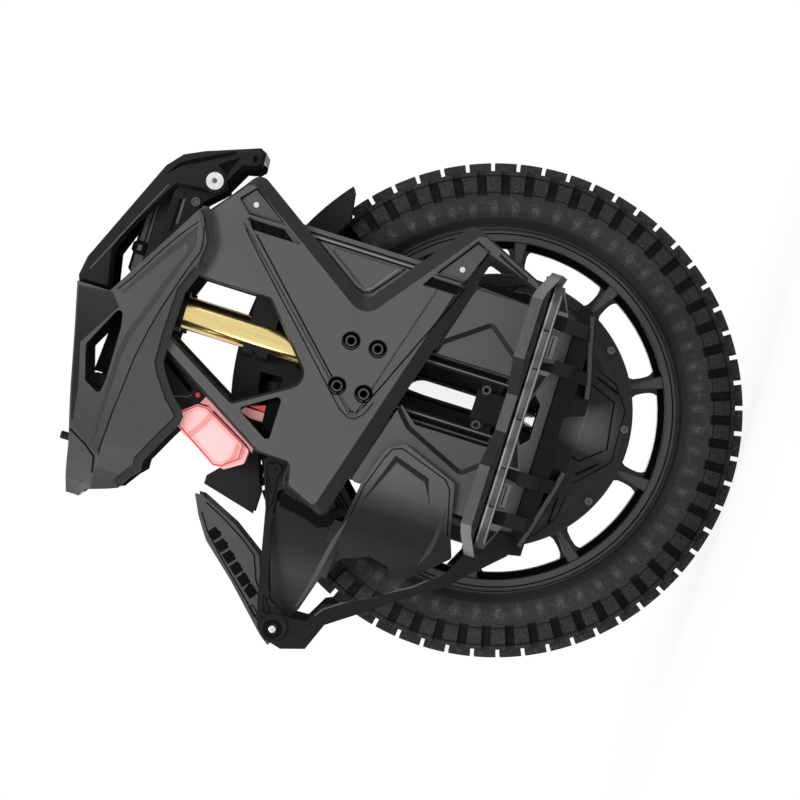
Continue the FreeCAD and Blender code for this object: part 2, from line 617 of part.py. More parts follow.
def bevelled(points, radii, y_from, y_to, bevel, insets):
    """Slab whose outer face is drawn in by a bevel along every edge."""
    y_edge = y_to - math.copysign(bevel, y_to - y_from)
    lower = side_edges(points, radii, y_edge)
    upper = side_edges(inset(points, insets), inset_radii(points, radii, insets), y_to)
    faces = [Part.Face(side_wire(points, radii, y_from)), Part.Face(Part.Wire(upper))]
    for low, high in zip(lower, upper):
        faces.append(low.extrude(Vector(0, y_from - y_edge, 0)))
        if isinstance(low.Curve, Part.Line):
            corners = [low.Vertexes[0].Point, low.Vertexes[1].Point, high.Vertexes[1].Point, high.Vertexes[0].Point]
            faces.append(Part.Face(Part.makePolygon(corners + corners[:1])))
        else:
            faces.append(Part.makeRuledSurface(low, high))
    shell = Part.Shell(faces)
    shell.sewShape()
    solid = Part.Solid(shell)
    if solid.Volume < 0:
        solid.reverse()
    return solid


def ring(section):
    """Closed section of (y, radius) points turned about the axle."""
    corners = [Vector(0, y, AXLE_Z + r) for y, r in section]
    face = Part.Face(Part.makePolygon(corners + corners[:1]))
    return face.revolve(AXLE_CENTRE, Y_AXIS, 360)


def both_sides(half):
    """Section mirrored to the other side of the wheel, from the outer run and the inner run."""
    outer, inner = half
    flipped_inner = [(-y, r) for y, r in reversed(inner) if y > 0]
    flipped_outer = [(-y, r) for y, r in reversed(outer) if y > 0]
    return outer + inner + flipped_inner + flipped_outer


def rod_y(x, z, radius, y_from, y_to):
    """Cylinder along Y."""
    low = min(y_from, y_to)
    return Part.makeCylinder(radius, abs(y_to - y_from), Vector(x, low, z), Y_AXIS)


def rod_z(x, y, radius, z_from, z_to):
    """Cylinder along Z."""
    return Part.makeCylinder(radius, z_to - z_from, Vector(x, y, z_from), Z_AXIS)


def block(x_from, x_to, y_from, y_to, z_from, z_to):
    """Box between two corners."""
    return Part.makeBox(x_to - x_from, y_to - y_from, z_to - z_from, Vector(x_from, y_from, z_from))


def about_axle(shape, angle):
    """Copy turned about the axle, counter-clockwise in the side view with +X to the right."""
    copy = shape.copy()
    copy.rotate(AXLE_CENTRE, Y_AXIS, -angle)
    return copy


def right_of(shape):
    """Mirror image on the right side."""
    return shape.mirror(ORIGIN, Y_AXIS)


def save(name, *shapes):
    """One node file."""
    shape = shapes[0] if len(shapes) == 1 else Part.makeCompound(list(shapes))
    shape.exportStep("parts/" + name + ".step")


def save_both(name, shape):
    """One node file that holds a piece and its mirror image."""
    save(name, *(shape.Solids + right_of(shape).Solids))


def save_pair(name, shape):
    """One node file for each side."""
    save("left_" + name, shape)
    save("right_" + name, right_of(shape))


def socket_screw(x, z, seat_y, head, head_height, shank, length):
    """Screw along Y with its head on the outer side of the seat and a hexagon socket."""
    screw = rod_y(x, z, head / 2, seat_y, seat_y + head_height)
    screw = screw.fuse(rod_y(x, z, shank / 2, seat_y - length, seat_y))
    size = head * BOLT_SOCKET / PLATE_BOLT_HEAD / 2
    corners = []
    for i in range(COVER_SIDES):
        angle = 2 * math.pi * i / COVER_SIDES
        corners.append((x + size * math.cos(angle), z + size * math.sin(angle)))
    depth = head_height * BOLT_SOCKET_DEPTH / PLATE_BOLT_HEAD_HEIGHT
    socket = prism(corners, seat_y + head_height - depth, seat_y + head_height + OVER)
    return screw.cut(socket)


def build_wheel():
    """Tyre, rim, motor parts and valve, all turning about the axle."""
    height = TYRE_DIAMETER / 2 - SEAT_R
    half = TYRE_WIDTH / 2
    outer = [(sy * half, SEAT_R + sr * height) for sy, sr in TYRE_OUTER_SHARES]
    inner = [(sy * half, SEAT_R + sr * height) for sy, sr in TYRE_INNER_SHARES]
    tyre = ring(both_sides((outer, inner)))
    groove_half = TYRE_OUTER_SHARES[2][0] * half
    groove_floor = AXLE_Z + TYRE_DIAMETER / 2 - CENTRE_GROOVE_DEPTH
    cuts = []
    for i in range(KNOB_COUNT):
        angle = 360 * i / KNOB_COUNT
        groove = block(-CENTRE_GROOVE_WIDTH / 2, CENTRE_GROOVE_WIDTH / 2, -groove_half, groove_half,
                       groove_floor, groove_floor + CENTRE_GROOVE_DEPTH + OVER)
        cuts.append(about_axle(groove, angle))
        corners = []
        for sy, sr in SHOULDER_CUT_SHARES:
            corners.append(Vector(-SHOULDER_GROOVE_WIDTH / 2, sy * half, AXLE_Z + SEAT_R + sr * height))
        face = Part.Face(Part.makePolygon(corners + corners[:1]))
        notch = face.extrude(Vector(SHOULDER_GROOVE_WIDTH, 0, 0))
        staggered = about_axle(notch, angle + 180 / KNOB_COUNT)
        cuts.append(staggered)
        cuts.append(right_of(staggered))
    save("tyre", tyre.cut(Part.makeCompound(cuts)))

    seat = SEAT_R - RIM_SEAT_GAP
    flange = SEAT_R + RIM_FLANGE_HEIGHT
    rim_half = RIM_WIDTH / 2
    web_half = RIM_WEB_THICKNESS / 2
    hub_half = HUB_WIDTH / 2
    hub_r = HUB_DIAMETER / 2
    barrel_r = seat - RIM_BARREL_WALL
    outer = [(0, seat), (rim_half - RIM_FLANGE_THICKNESS, seat), (rim_half - RIM_FLANGE_THICKNESS, flange),
             (rim_half, flange), (rim_half, barrel_r), (web_half, barrel_r), (web_half, hub_r),
             (hub_half, hub_r), (hub_half, HUB_BORE / 2)]
    inner = [(0, HUB_BORE / 2)]
    rim = ring(both_sides((outer, inner)))
    reach = math.radians(SPOKE_WINDOW_ANGLE) / 2
    low = hub_r + SPOKE_WINDOW_MARGIN
    high = barrel_r - SPOKE_WINDOW_MARGIN
    window = [(-low * math.sin(reach), AXLE_Z + low * math.cos(reach)),
              (low * math.sin(reach), AXLE_Z + low * math.cos(reach)),
              (high * math.sin(reach), AXLE_Z + high * math.cos(reach)),
              (-high * math.sin(reach), AXLE_Z + high * math.cos(reach))]
    hole = slab(window, even(window, SPOKE_WINDOW_CORNER), -rim_half, rim_half)
    pitch = 360 / SPOKE_COUNT
    first = SPOKE_FIRST_ANGLE + pitch / 2 - QUARTER_TURN
    windows = [about_axle(hole, first + pitch * i) for i in range(SPOKE_COUNT)]
    rim = rim.cut(Part.makeCompound(windows))
    screw_y = hub_half + COVER_RIM_THICKNESS
    circle = COVER_SCREW_CIRCLE / 2
    one = socket_screw(0, AXLE_Z + circle, screw_y, COVER_SCREW_HEAD, COVER_SCREW_HEAD_HEIGHT,
                       COVER_SCREW_DIAMETER, COVER_SCREW_LENGTH)
    drill = rod_y(0, AXLE_Z + circle, COVER_SCREW_DIAMETER / 2 + SCREW_CLEARANCE,
                  screw_y - COVER_SCREW_LENGTH - SCREW_CLEARANCE, screw_y + OVER)
    screws = []
    drills = []
    for i in range(SPOKE_COUNT):
        turned = about_axle(one, first + pitch * i)
        screws.append(turned)
        screws.append(right_of(turned))
        bored = about_axle(drill, first + pitch * i)
        drills.append(bored)
        drills.append(right_of(bored))
    drills = Part.makeCompound(drills)
    valve_angle = first
    stem_top = AXLE_Z + seat + VALVE_HEAD
    stem = rod_z(0, 0, VALVE_DIAMETER / 2, stem_top - VALVE_LENGTH, stem_top)
    stem_hole = rod_z(0, 0, VALVE_DIAMETER / 2 + SCREW_CLEARANCE, AXLE_Z + hub_r + OVER, stem_top + OVER)
    rim = rim.cut(drills).cut(about_axle(stem_hole, valve_angle))
    save("rim", rim)
    save("valve_stem", about_axle(stem, valve_angle))
    save("motor_cover_screws", *screws)

    rotor_out = HUB_BORE / 2 - ROTOR_GAP
    rotor = rod_y(0, AXLE_Z, rotor_out, -ROTOR_WIDTH / 2, ROTOR_WIDTH / 2)
    save("motor_rotor", rotor.cut(rod_y(0, AXLE_Z, rotor_out - ROTOR_WALL, -ROTOR_WIDTH, ROTOR_WIDTH)))

    cover_r = COVER_DIAMETER / 2
    step_r = cover_r - COVER_STEP_WIDTH
    crown_y = screw_y + COVER_CROWN
    bearing_r = BEARING_DIAMETER / 2
    section = [(hub_half, cover_r), (screw_y, cover_r), (screw_y, step_r), (crown_y, step_r - COVER_STEP_RUN),
               (crown_y, bearing_r), (hub_half, bearing_r)]
    cover = ring(section)
    corners = []
    for i in range(COVER_SIDES):
        angle = 2 * math.pi * i / COVER_SIDES
        corners.append((COVER_RELIEF_DIAMETER / 2 * math.cos(angle),
                        AXLE_Z + COVER_RELIEF_DIAMETER / 2 * math.sin(angle)))
    bevel_run = even(corners, COVER_RELIEF_BEVEL)
    relief = bevelled(corners, even(corners, CORNER_ROUND), screw_y, crown_y + COVER_RELIEF, COVER_RELIEF,
                      bevel_run)
    centre = rod_y(0, AXLE_Z, bearing_r, hub_half - OVER, crown_y + COVER_RELIEF + OVER)
    cover = cover.fuse(relief).cut(centre).cut(drills)
    save_both("motor_covers", cover.removeSplitter())

    bearing = rod_y(0, AXLE_Z, bearing_r - BEARING_GAP, hub_half, hub_half + BEARING_WIDTH)
    bearing = bearing.cut(rod_y(0, AXLE_Z, AXLE_DIAMETER / 2 + BEARING_GAP, hub_half - OVER,
                                hub_half + BEARING_WIDTH + OVER))
    save_both("wheel_bearings", bearing)


def build_carrier():
    """Axle, stator, fork sliders, lugs, hugger: all that slides in the fork."""
    axle_r = AXLE_DIAMETER / 2
    save("axle", rod_y(0, AXLE_Z, axle_r, -AXLE_LENGTH / 2, AXLE_LENGTH / 2))
    stator = rod_y(0, AXLE_Z, STATOR_DIAMETER / 2, -STATOR_WIDTH / 2, STATOR_WIDTH / 2)
    slot_floor = AXLE_Z + STATOR_DIAMETER / 2 - STATOR_SLOT_DEPTH
    slot = block(-STATOR_SLOT_WIDTH / 2, STATOR_SLOT_WIDTH / 2, -STATOR_WIDTH, STATOR_WIDTH, slot_floor,
                 slot_floor + STATOR_SLOT_DEPTH + OVER)
    slots = [about_axle(slot, 360 * i / STATOR_SLOTS) for i in range(STATOR_SLOTS)]
    stator = stator.cut(Part.makeCompound(slots))
    save("motor_stator", stator.cut(rod_y(0, AXLE_Z, axle_r + BEARING_GAP, -STATOR_WIDTH, STATOR_WIDTH)))

    slider_r = FORK_SLIDER_DIAMETER / 2
    floor_z = AXLE_Z + LUG_SOCKET_FLOOR
    slider = rod_z(0, FORK_Y, slider_r, floor_z, AXLE_Z + FORK_SLIDER_TOP)
    slider = slider.cut(rod_z(0, FORK_Y, slider_r - FORK_SLIDER_WALL, AXLE_Z + LUG_TOP,
                              AXLE_Z + FORK_SLIDER_TOP + OVER))
    foot_top = AXLE_Z - LUG_BOTTOM
    foot = rod_z(0, FORK_Y, FORK_FOOT_DIAMETER / 2, foot_top - FORK_FOOT_LENGTH, foot_top)
    foot = foot.makeChamfer(OVER, [edge for edge in foot.Edges if edge.BoundBox.ZMax < foot_top - OVER])
    save_both("fork_sliders", Part.makeCompound([slider, foot]))

    lug = block(-LUG_WIDTH / 2, LUG_WIDTH / 2, FORK_Y - LUG_THICKNESS / 2, FORK_Y + LUG_THICKNESS / 2,
                foot_top, AXLE_Z + LUG_TOP)
    lug = lug.makeChamfer(CORNER_ROUND / 2, [edge for edge in lug.Edges if abs(edge.tangentAt(0).z) > 0.5])
    shoe_half = SLIDE_BLOCK_WIDTH / 2
    shoe_y = FORK_Y - SLIDE_BLOCK_THICKNESS / 2
    shoe = block(-shoe_half, shoe_half, shoe_y, shoe_y + SLIDE_BLOCK_THICKNESS, AXLE_Z,
                 AXLE_Z + SLIDE_BLOCK_HEIGHT)
    lug = lug.fuse(shoe)
    lug = lug.cut(rod_z(0, FORK_Y, slider_r + FORK_FIT_GAP, floor_z, AXLE_Z + LUG_TOP + OVER))
    lug = lug.cut(rod_y(0, AXLE_Z, axle_r + FORK_FIT_GAP, FORK_Y - LUG_THICKNESS, AXLE_LENGTH / 2))
    bolt_y = shoe_y + SLIDE_BLOCK_THICKNESS
    bolts = []
    for side in (-1, 1):
        x = side * CLAMP_BOLT_SPREAD / 2
        bolt = socket_screw(x, AXLE_Z + CLAMP_BOLT_RISE, bolt_y, CLAMP_BOLT_HEAD, CLAMP_BOLT_HEAD_HEIGHT,
                            CLAMP_BOLT_DIAMETER, CLAMP_BOLT_LENGTH)
        lug = lug.cut(rod_y(x, AXLE_Z + CLAMP_BOLT_RISE, CLAMP_BOLT_DIAMETER / 2 + SCREW_CLEARANCE,
                            bolt_y - CLAMP_BOLT_LENGTH - SCREW_CLEARANCE, bolt_y + OVER))
        lug = lug.cut(rod_y(x, AXLE_Z + CLAMP_BOLT_RISE, CLAMP_BOLT_HEAD / 2 + SCREW_CLEARANCE, bolt_y,
                            bolt_y + LUG_THICKNESS))
        bolts.append(bolt)
        bolts.append(right_of(bolt))
    save_both("axle_clamps", lug)
    save("clamp_bolts", *bolts)

    top_r = HUGGER_RADIUS + HUGGER_WALL
    lip_r = top_r - HUGGER_LIP
    outer = [(HUGGER_Y, top_r), (HUGGER_Y, lip_r)]
    inner = [(HUGGER_Y - HUGGER_WALL, lip_r), (HUGGER_Y - HUGGER_WALL, HUGGER_RADIUS)]
    section = both_sides((outer, inner))
    corners = [Vector(0, y, AXLE_Z + r) for y, r in section]
    face = Part.Face(Part.makePolygon(corners + corners[:1]))
    face.rotate(AXLE_CENTRE, Y_AXIS, QUARTER_TURN - HUGGER_FRONT_ANGLE)
    hugger = face.revolve(AXLE_CENTRE, Y_AXIS, HUGGER_FRONT_ANGLE - HUGGER_REAR_ANGLE)
    fin = math.radians(HUGGER_FRONT_ANGLE)
    tip = (top_r * math.cos(fin), AXLE_Z + top_r * math.sin(fin))
    under = (lip_r * math.cos(fin), AXLE_Z + lip_r * math.sin(fin))
    back = fin + HUGGER_FIN_CUT / lip_r
    behind = (lip_r * math.cos(back) - OVER, AXLE_Z + lip_r * math.sin(back) - OVER)
    sliver = [(tip[0] + OVER, tip[1] - OVER), (under[0], under[1] - HUGGER_FIN_CUT), behind]
    hugger = hugger.cut(prism(sliver, -HUGGER_WIDTH, HUGGER_WIDTH))
    tail = prism(on_frame(HUGGER_TAIL_SHARES), -HUGGER_Y, HUGGER_Y)
    hollow = prism(on_frame(HUGGER_TAIL_INNER_SHARES), HUGGER_WALL - HUGGER_Y, HUGGER_Y - HUGGER_WALL)
    tunnel = rod_y(0, AXLE_Z, HUGGER_RADIUS, HUGGER_WALL - HUGGER_Y, HUGGER_Y - HUGGER_WALL)
    tail = tail.cut(hollow).cut(tunnel).cut(rod_y(0, AXLE_Z, lip_r, -HUGGER_WIDTH, HUGGER_WIDTH))
    hugger = hugger.fuse(tail).removeSplitter()
    save("tyre_hugger", hugger)

    stay_top = AXLE_Z + math.sqrt(top_r ** 2 - (STAY_TOP_WIDTH / 2) ** 2) - HUGGER_WALL
    stay_foot = AXLE_Z - STAY_FOOT_DROP
    outline = [(-STAY_FOOT_WIDTH / 2, stay_foot), (STAY_FOOT_WIDTH / 2, stay_foot),
               (STAY_TOP_WIDTH / 2, stay_top), (-STAY_TOP_WIDTH / 2, stay_top)]
    stay = slab(outline, even(outline, STAY_CORNER), HUGGER_Y, HUGGER_Y + STAY_THICKNESS)
    hole = [(sx * STAY_TOP_WIDTH, stay_foot + sz * (stay_top - stay_foot)) for sx, sz in STAY_HOLE_SHARES]
    stay = stay.cut(slab(hole, even(hole, STAY_CORNER), HUGGER_Y - OVER, HUGGER_Y + STAY_THICKNESS + OVER))
    stay = stay.cut(rod_y(0, AXLE_Z, axle_r + FORK_FIT_GAP, HUGGER_Y - OVER, HUGGER_Y + STAY_THICKNESS + OVER))
    save_both("hugger_stays", stay)


def build_fork():
    """Gold fork tubes with their seals and lower clamps."""
    tube_r = FORK_TUBE_DIAMETER / 2
    bottom = AXLE_Z + FORK_TUBE_BOTTOM
    tube = rod_z(0, FORK_Y, tube_r, bottom, CROWN_TOP)
    tube = tube.cut(rod_z(0, FORK_Y, FORK_TUBE_BORE / 2, bottom - OVER, CROWN_TOP - CASE_WALL))
    save_both("fork_tubes", tube)
    seal = rod_z(0, FORK_Y, tube_r, bottom - FORK_SEAL_HEIGHT, bottom)
    seal = seal.cut(rod_z(0, FORK_Y, FORK_SLIDER_DIAMETER / 2 + FORK_SEAL_GAP, bottom - FORK_TUBE_BOTTOM,
                          bottom + OVER))
    save_both("fork_seals", seal)
    low = AXLE_Z + LOWER_CLAMP_RISE
    face_y = FORK_Y + LOWER_CLAMP_OUTER
    clamp = block(-LOWER_CLAMP_REACH, CHANNEL_X, FORK_Y - LOWER_CLAMP_INNER, face_y, low, low + LOWER_CLAMP_HEIGHT)
    clamp = clamp.makeChamfer(CORNER_ROUND, [edge for edge in clamp.Edges
                                             if edge.BoundBox.XMax < 0 and abs(edge.tangentAt(0).z) > 0.5])
    groove_z = low + LOWER_CLAMP_HEIGHT / 2
    groove = block(-LOWER_CLAMP_REACH - OVER, -tube_r, face_y - RAIL_LIP, face_y + OVER,
                   groove_z - RAIL_LIP / 2, groove_z + RAIL_LIP / 2)
    clamp = clamp.cut(groove)
    clamp = clamp.cut(rod_z(0, FORK_Y, tube_r + FORK_FIT_GAP, low - OVER, low + LOWER_CLAMP_HEIGHT + OVER))
    save_both("fork_clamps", clamp)


def build_frame():
    """Cases, side plates, lower covers, rails, hangers and fenders."""
    front = on_frame(FRONT_CASE_SHARES)
    front[5:] = [(front[5][0], CROWN_Z), (front[6][0], CROWN_Z)]
    case = slab(front, even(front, SMALL_ROUND), CASE_IN, CASE_OUT)
    hollow = inset(front, even(front, CASE_WALL))
    case = case.cut(prism(hollow, CASE_IN + CASE_WALL, CASE_OUT - CASE_WALL))
    panel = on_frame(CASE_PANEL_SHARES)
    line = slab(panel, even(panel, CORNER_ROUND), CASE_OUT - PLATE_GROOVE_DEPTH, CASE_OUT + OVER)
    core = inset(panel, even(panel, PLATE_GROOVE_WIDTH))
    line = line.cut(slab(core, even(core, SMALL_ROUND), CASE_OUT - CASE_WALL, CASE_OUT + OVER))
    save_pair("front_case", case.cut(line))
    filling = inset(front, even(front, CASE_WALL + PACK_GAP))
    save_both("battery_packs", prism(filling, CASE_IN + CASE_WALL + PACK_GAP, CASE_OUT - CASE_WALL - PACK_GAP))

    rear = on_frame(REAR_CASE_SHARES)
    case = slab(rear, even(rear, SMALL_ROUND), CASE_IN, CASE_OUT)
    end_x, end_z = on_frame(UPPER_ARM_END_SHARES)[0]
    rear_x = REAR_CASE_SHARES[4][0] * FRAME_LENGTH
    lug_half = ARM_LUG_SIZE / 2
    lug = block(end_x - lug_half, rear_x + CASE_WALL, ARM_IN - ARM_LUG_DEPTH, ARM_IN, end_z - lug_half,
                end_z + lug_half)
    lug_cut = inset(rear, even(rear, CASE_WALL))
    cavity = prism(lug_cut, CASE_IN + CASE_WALL, CASE_OUT - CASE_WALL)
    case = case.fuse(lug).cut(cavity)
    case = case.cut(rod_y(end_x, end_z, ARM_SCREW_DIAMETER / 2 + SCREW_CLEARANCE,
                          ARM_MID - ARM_SCREW_LENGTH - SCREW_CLEARANCE, ARM_MID + OVER))
    save_both("rear_cases", case)

    outline = on_frame(PLATE_SHARES)
    radii = [share * EAR_ROUND for share in PLATE_ROUND_SHARES]
    insets = [share * FRAME_HEIGHT for share in PLATE_BEVEL_SHARES]
    plate = bevelled(outline, radii, CASE_OUT, PLATE_OUT, PLATE_BEVEL, insets)
    hole = on_frame(PLATE_HOLE_SHARES)
    cuts = [slab(hole, even(hole, CORNER_ROUND), CASE_OUT - OVER, PLATE_OUT + OVER)]
    for pocket in EAR_POCKETS_SHARES:
        points = on_frame(pocket)
        cuts.append(slab(points, even(points, SMALL_ROUND), PLATE_OUT - EAR_POCKET_DEPTH, PLATE_OUT + OVER))
    arrow = on_frame(PLATE_GROOVE_SHARES)
    for step in range(2):
        ring_out = inset(arrow, even(arrow, PLATE_GROOVE_STEP * step))
        ring_in = inset(ring_out, even(arrow, PLATE_GROOVE_WIDTH))
        groove = prism(ring_out, PLATE_OUT - PLATE_GROOVE_DEPTH, PLATE_OUT + OVER)
        groove = groove.cut(prism(ring_in, PLATE_OUT - PLATE_GROOVE_DEPTH - OVER, PLATE_OUT + OVER * 2))
        open_x = ring_in[0][0] - PLATE_GROOVE_STEP
        cuts.append(groove.common(block(-FRAME_LENGTH, open_x, 0, PLATE_OUT + OVER, 0, FRAME_Z + FRAME_HEIGHT)))
    seat_y = PLATE_OUT - PLATE_BOLT_SEAT_DEPTH
    bolts = []
    for x in (-PLATE_BOLT_SPREAD / 2, PLATE_BOLT_SPREAD / 2):
        for z in (FRAME_Z - PLATE_BOLT_RISE / 2, FRAME_Z + PLATE_BOLT_RISE / 2):
            cuts.append(rod_y(x, z, PLATE_BOLT_SEAT / 2, seat_y, PLATE_OUT + OVER))
            cuts.append(rod_y(x, z, PLATE_BOLT_DIAMETER / 2 + SCREW_CLEARANCE, CASE_OUT - OVER, PLATE_OUT))
            bolt = socket_screw(x, z, seat_y, PLATE_BOLT_HEAD, PLATE_BOLT_HEAD_HEIGHT, PLATE_BOLT_DIAMETER,
                                seat_y - CASE_OUT)
            bolts.append(bolt)
            bolts.append(right_of(bolt))
    save("side_plate_bolts", *bolts)
    screws = []
    pocket_y = PLATE_OUT - EAR_POCKET_DEPTH
    for x, z in on_frame(EAR_SCREW_SHARES):
        screw = rod_y(x, z, EAR_SCREW_DIAMETER / 2, pocket_y - EAR_SCREW_HEIGHT, pocket_y + EAR_SCREW_HEIGHT)
        cuts.append(rod_y(x, z, EAR_SCREW_DIAMETER / 2 + SCREW_CLEARANCE, pocket_y - EAR_SCREW_HEIGHT,
                          PLATE_OUT + OVER))
        screws.append(screw)
        screws.append(right_of(screw))
    save("ear_screws", *screws)
    plate = plate.cut(cuts)
    save("right_side_plate", right_of(plate))
    port_z = AXLE_Z + PORT_RISE
    port_hole = rod_y(PORT_X, port_z, PORT_DIAMETER / 2 + PORT_GAP, CASE_OUT - OVER, PLATE_OUT + OVER)
    save("left_side_plate", plate.cut(port_hole))
    port_end = PLATE_OUT + PORT_FLANGE_THICKNESS
    port = rod_y(PORT_X, port_z, PORT_FLANGE_DIAMETER / 2, PLATE_OUT, port_end)
    port = port.fuse(rod_y(PORT_X, port_z, PORT_DIAMETER / 2, port_end - PORT_BORE_DEPTH - PORT_FLOOR, PLATE_OUT))
    save("charge_port", port.cut(rod_y(PORT_X, port_z, PORT_BORE / 2, port_end - PORT_BORE_DEPTH, port_end + OVER)))

    outline = on_frame(LOWER_COVER_SHARES)
    cover = slab(outline, even(outline, CORNER_ROUND), CASE_OUT, COVER_OUT)
    step = on_frame(COVER_STEP_SHARES)
    recess = bevelled(step, even(step, COVER_STEP_ROUND), COVER_OUT + OVER, COVER_OUT - COVER_STEP, COVER_STEP,
                      even(step, COVER_STEP_BAND))
    cover = cover.cut(recess)
    window = on_frame(COVER_WINDOW_SHARES)
    cover = cover.cut(slab(window, even(window, SMALL_ROUND), CASE_OUT - OVER, COVER_OUT + OVER))
    save_pair("lower_cover", cover)

    rail_low = FRAME_Z + REAR_CASE_SHARES[0][1] * FRAME_HEIGHT
    rail_in = SLIDE_BLOCK_WIDTH / 2 + SLIDE_GAP
    half = RAIL_THICKNESS / 2
    rail = block(rail_in, CHANNEL_X, FORK_Y - half, FORK_Y + half, rail_low, rail_low + RAIL_HEIGHT)
    groove_x = (rail_in + CHANNEL_X) / 2
    rail = rail.cut(block(groove_x - RAIL_GROOVE / 2, groove_x + RAIL_GROOVE / 2, FORK_Y + half - RAIL_LIP,
                          FORK_Y + half + OVER, rail_low - OVER, rail_low + RAIL_HEIGHT + OVER))
    save_both("guide_rails", Part.makeCompound([rail, rail.mirror(ORIGIN, X_AXIS)]))

    build_hanger()
    build_fender()


def build_hanger():
    """Pedal hanger with its skid, ribs and hinge lugs, and the hinge pins."""
    outline = on_frame(HANGER_SHARES)
    body = prism(outline, HANGER_IN, HANGER_OUT)
    start = AXLE_Z - HANGER_SLOPE_START
    wedge = [Vector(-FRAME_LENGTH, HANGER_OUT, start),
             Vector(-FRAME_LENGTH, HANGER_OUT - HANGER_SLOPE_RUN, start - HANGER_SLOPE_FALL),
             Vector(-FRAME_LENGTH, HANGER_OUT + HANGER_SLOPE_RUN, start - HANGER_SLOPE_FALL)]
    wedge = Part.Face(Part.makePolygon(wedge + wedge[:1])).extrude(Vector(FRAME_LENGTH * 2, 0, 0))
    deep = wedge.copy()
    deep.translate(Vector(0, -HANGER_RIB, 0))
    ribs = []
    for share in HANGER_RIB_SHARES:
        x = share * FRAME_LENGTH
        ribs.append(block(x - HANGER_RIB_WIDTH / 2, x + HANGER_RIB_WIDTH / 2, HANGER_IN, HANGER_OUT, 0, FRAME_Z))
    ribs = Part.makeCompound(ribs)
    hanger = body.cut(deep).fuse(body.common(ribs).cut(wedge))
    notch = on_frame(HANGER_NOTCH_SHARES)
    hanger = hanger.cut(slab(notch, even(notch, CORNER_ROUND), HANGER_IN - OVER, HANGER_OUT + OVER))
    points = on_frame(HANGER_LUG_SHARES)
    end_x, end_z = on_frame(LOWER_ARM_END_SHARES)[0]
    lower_in = ARM_MID + ARM_GAP
    lug = slab(points, even(points, SMALL_ROUND), lower_in - ARM_LUG_DEPTH, lower_in)
    hanger = hanger.fuse(lug)
    hanger = hanger.cut(rod_y(end_x, end_z, ARM_SCREW_DIAMETER / 2 + SCREW_CLEARANCE,
                              ARM_OUT - ARM_SCREW_LENGTH - SCREW_CLEARANCE, ARM_OUT + OVER))
    lug_r = HINGE_BARREL_DIAMETER / 2
    gap = HINGE_BARREL_LENGTH / 2 + HINGE_SIDE_GAP
    root_y = HINGE_Y - HINGE_LUG_REACH
    corners = [Vector(0, HINGE_Y + lug_r, HINGE_Z), Vector(0, HINGE_Y - lug_r, HINGE_Z),
               Vector(0, root_y + OVER, HINGE_Z - HINGE_LUG_SHOULDER), Vector(0, root_y, HINGE_Z - HINGE_LUG_DROP),
               Vector(0, HINGE_Y + lug_r, HINGE_Z - HINGE_LUG_WAIST)]
    face = Part.Face(Part.makePolygon(corners + corners[:1]))
    web = face.extrude(Vector(HINGE_LUG_THICKNESS, 0, 0))
    eye = Part.makeCylinder(lug_r, HINGE_LUG_THICKNESS, Vector(0, HINGE_Y, HINGE_Z), X_AXIS)
    web = web.fuse(eye)
    pins = []
    for side in (-1, 1):
        centre = side * HINGE_SPREAD / 2
        for x in (centre - gap - HINGE_LUG_THICKNESS, centre + gap):
            lug = web.copy()
            lug.translate(Vector(x, 0, 0))
            hanger = hanger.fuse(lug)
        length = (gap + HINGE_LUG_THICKNESS) * 2
        bore = Part.makeCylinder(HINGE_PIN_DIAMETER / 2 + HINGE_PIN_GAP, length + OVER * 2,
                                 Vector(centre - length / 2 - OVER, HINGE_Y, HINGE_Z), X_AXIS)
        hanger = hanger.cut(bore)
        pins.append(Part.makeCylinder(HINGE_PIN_DIAMETER / 2, length, Vector(centre - length / 2, HINGE_Y, HINGE_Z),
                                      X_AXIS))
    save_pair("pedal_hanger", hanger.removeSplitter())
    save_both("hinge_pins", Part.makeCompound(pins))


def plan_leaf(shares, base_y):
    """Curved upright sheet: its line in plan runs through the shares, its wall lies inside the line."""
    outer = []
    for along, inward in shares:
        outer.append(Vector(-FENDER_START - along * FENDER_LENGTH, base_y - inward * FENDER_INSET, 0))
    shifted = [point - Vector(0, FENDER_WALL, 0) for point in outer]
    line = Part.BSplineCurve()
    line.interpolate(outer)
    back = Part.BSplineCurve()
    back.interpolate(shifted)
    edges = [line.toShape(), Part.makeLine(outer[-1], shifted[-1]), back.toShape(),
             Part.makeLine(shifted[0], outer[0])]
    sheet = Part.Face(Part.Wire(Part.__sortEdges__(edges)))
    region_end = [Vector(outer[-1].x, FENDER_INNER_GAP / 2, 0), Vector(outer[0].x, FENDER_INNER_GAP / 2, 0)]
    edges = [line.toShape(), Part.makeLine(outer[-1], region_end[0]), Part.makeLine(region_end[0], region_end[1]),
             Part.makeLine(region_end[1], outer[0])]
    region = Part.Face(Part.Wire(Part.__sortEdges__(edges)))
    tall = Vector(0, 0, FRAME_Z + FRAME_HEIGHT)
    return sheet.extrude(tall), region.extrude(tall)


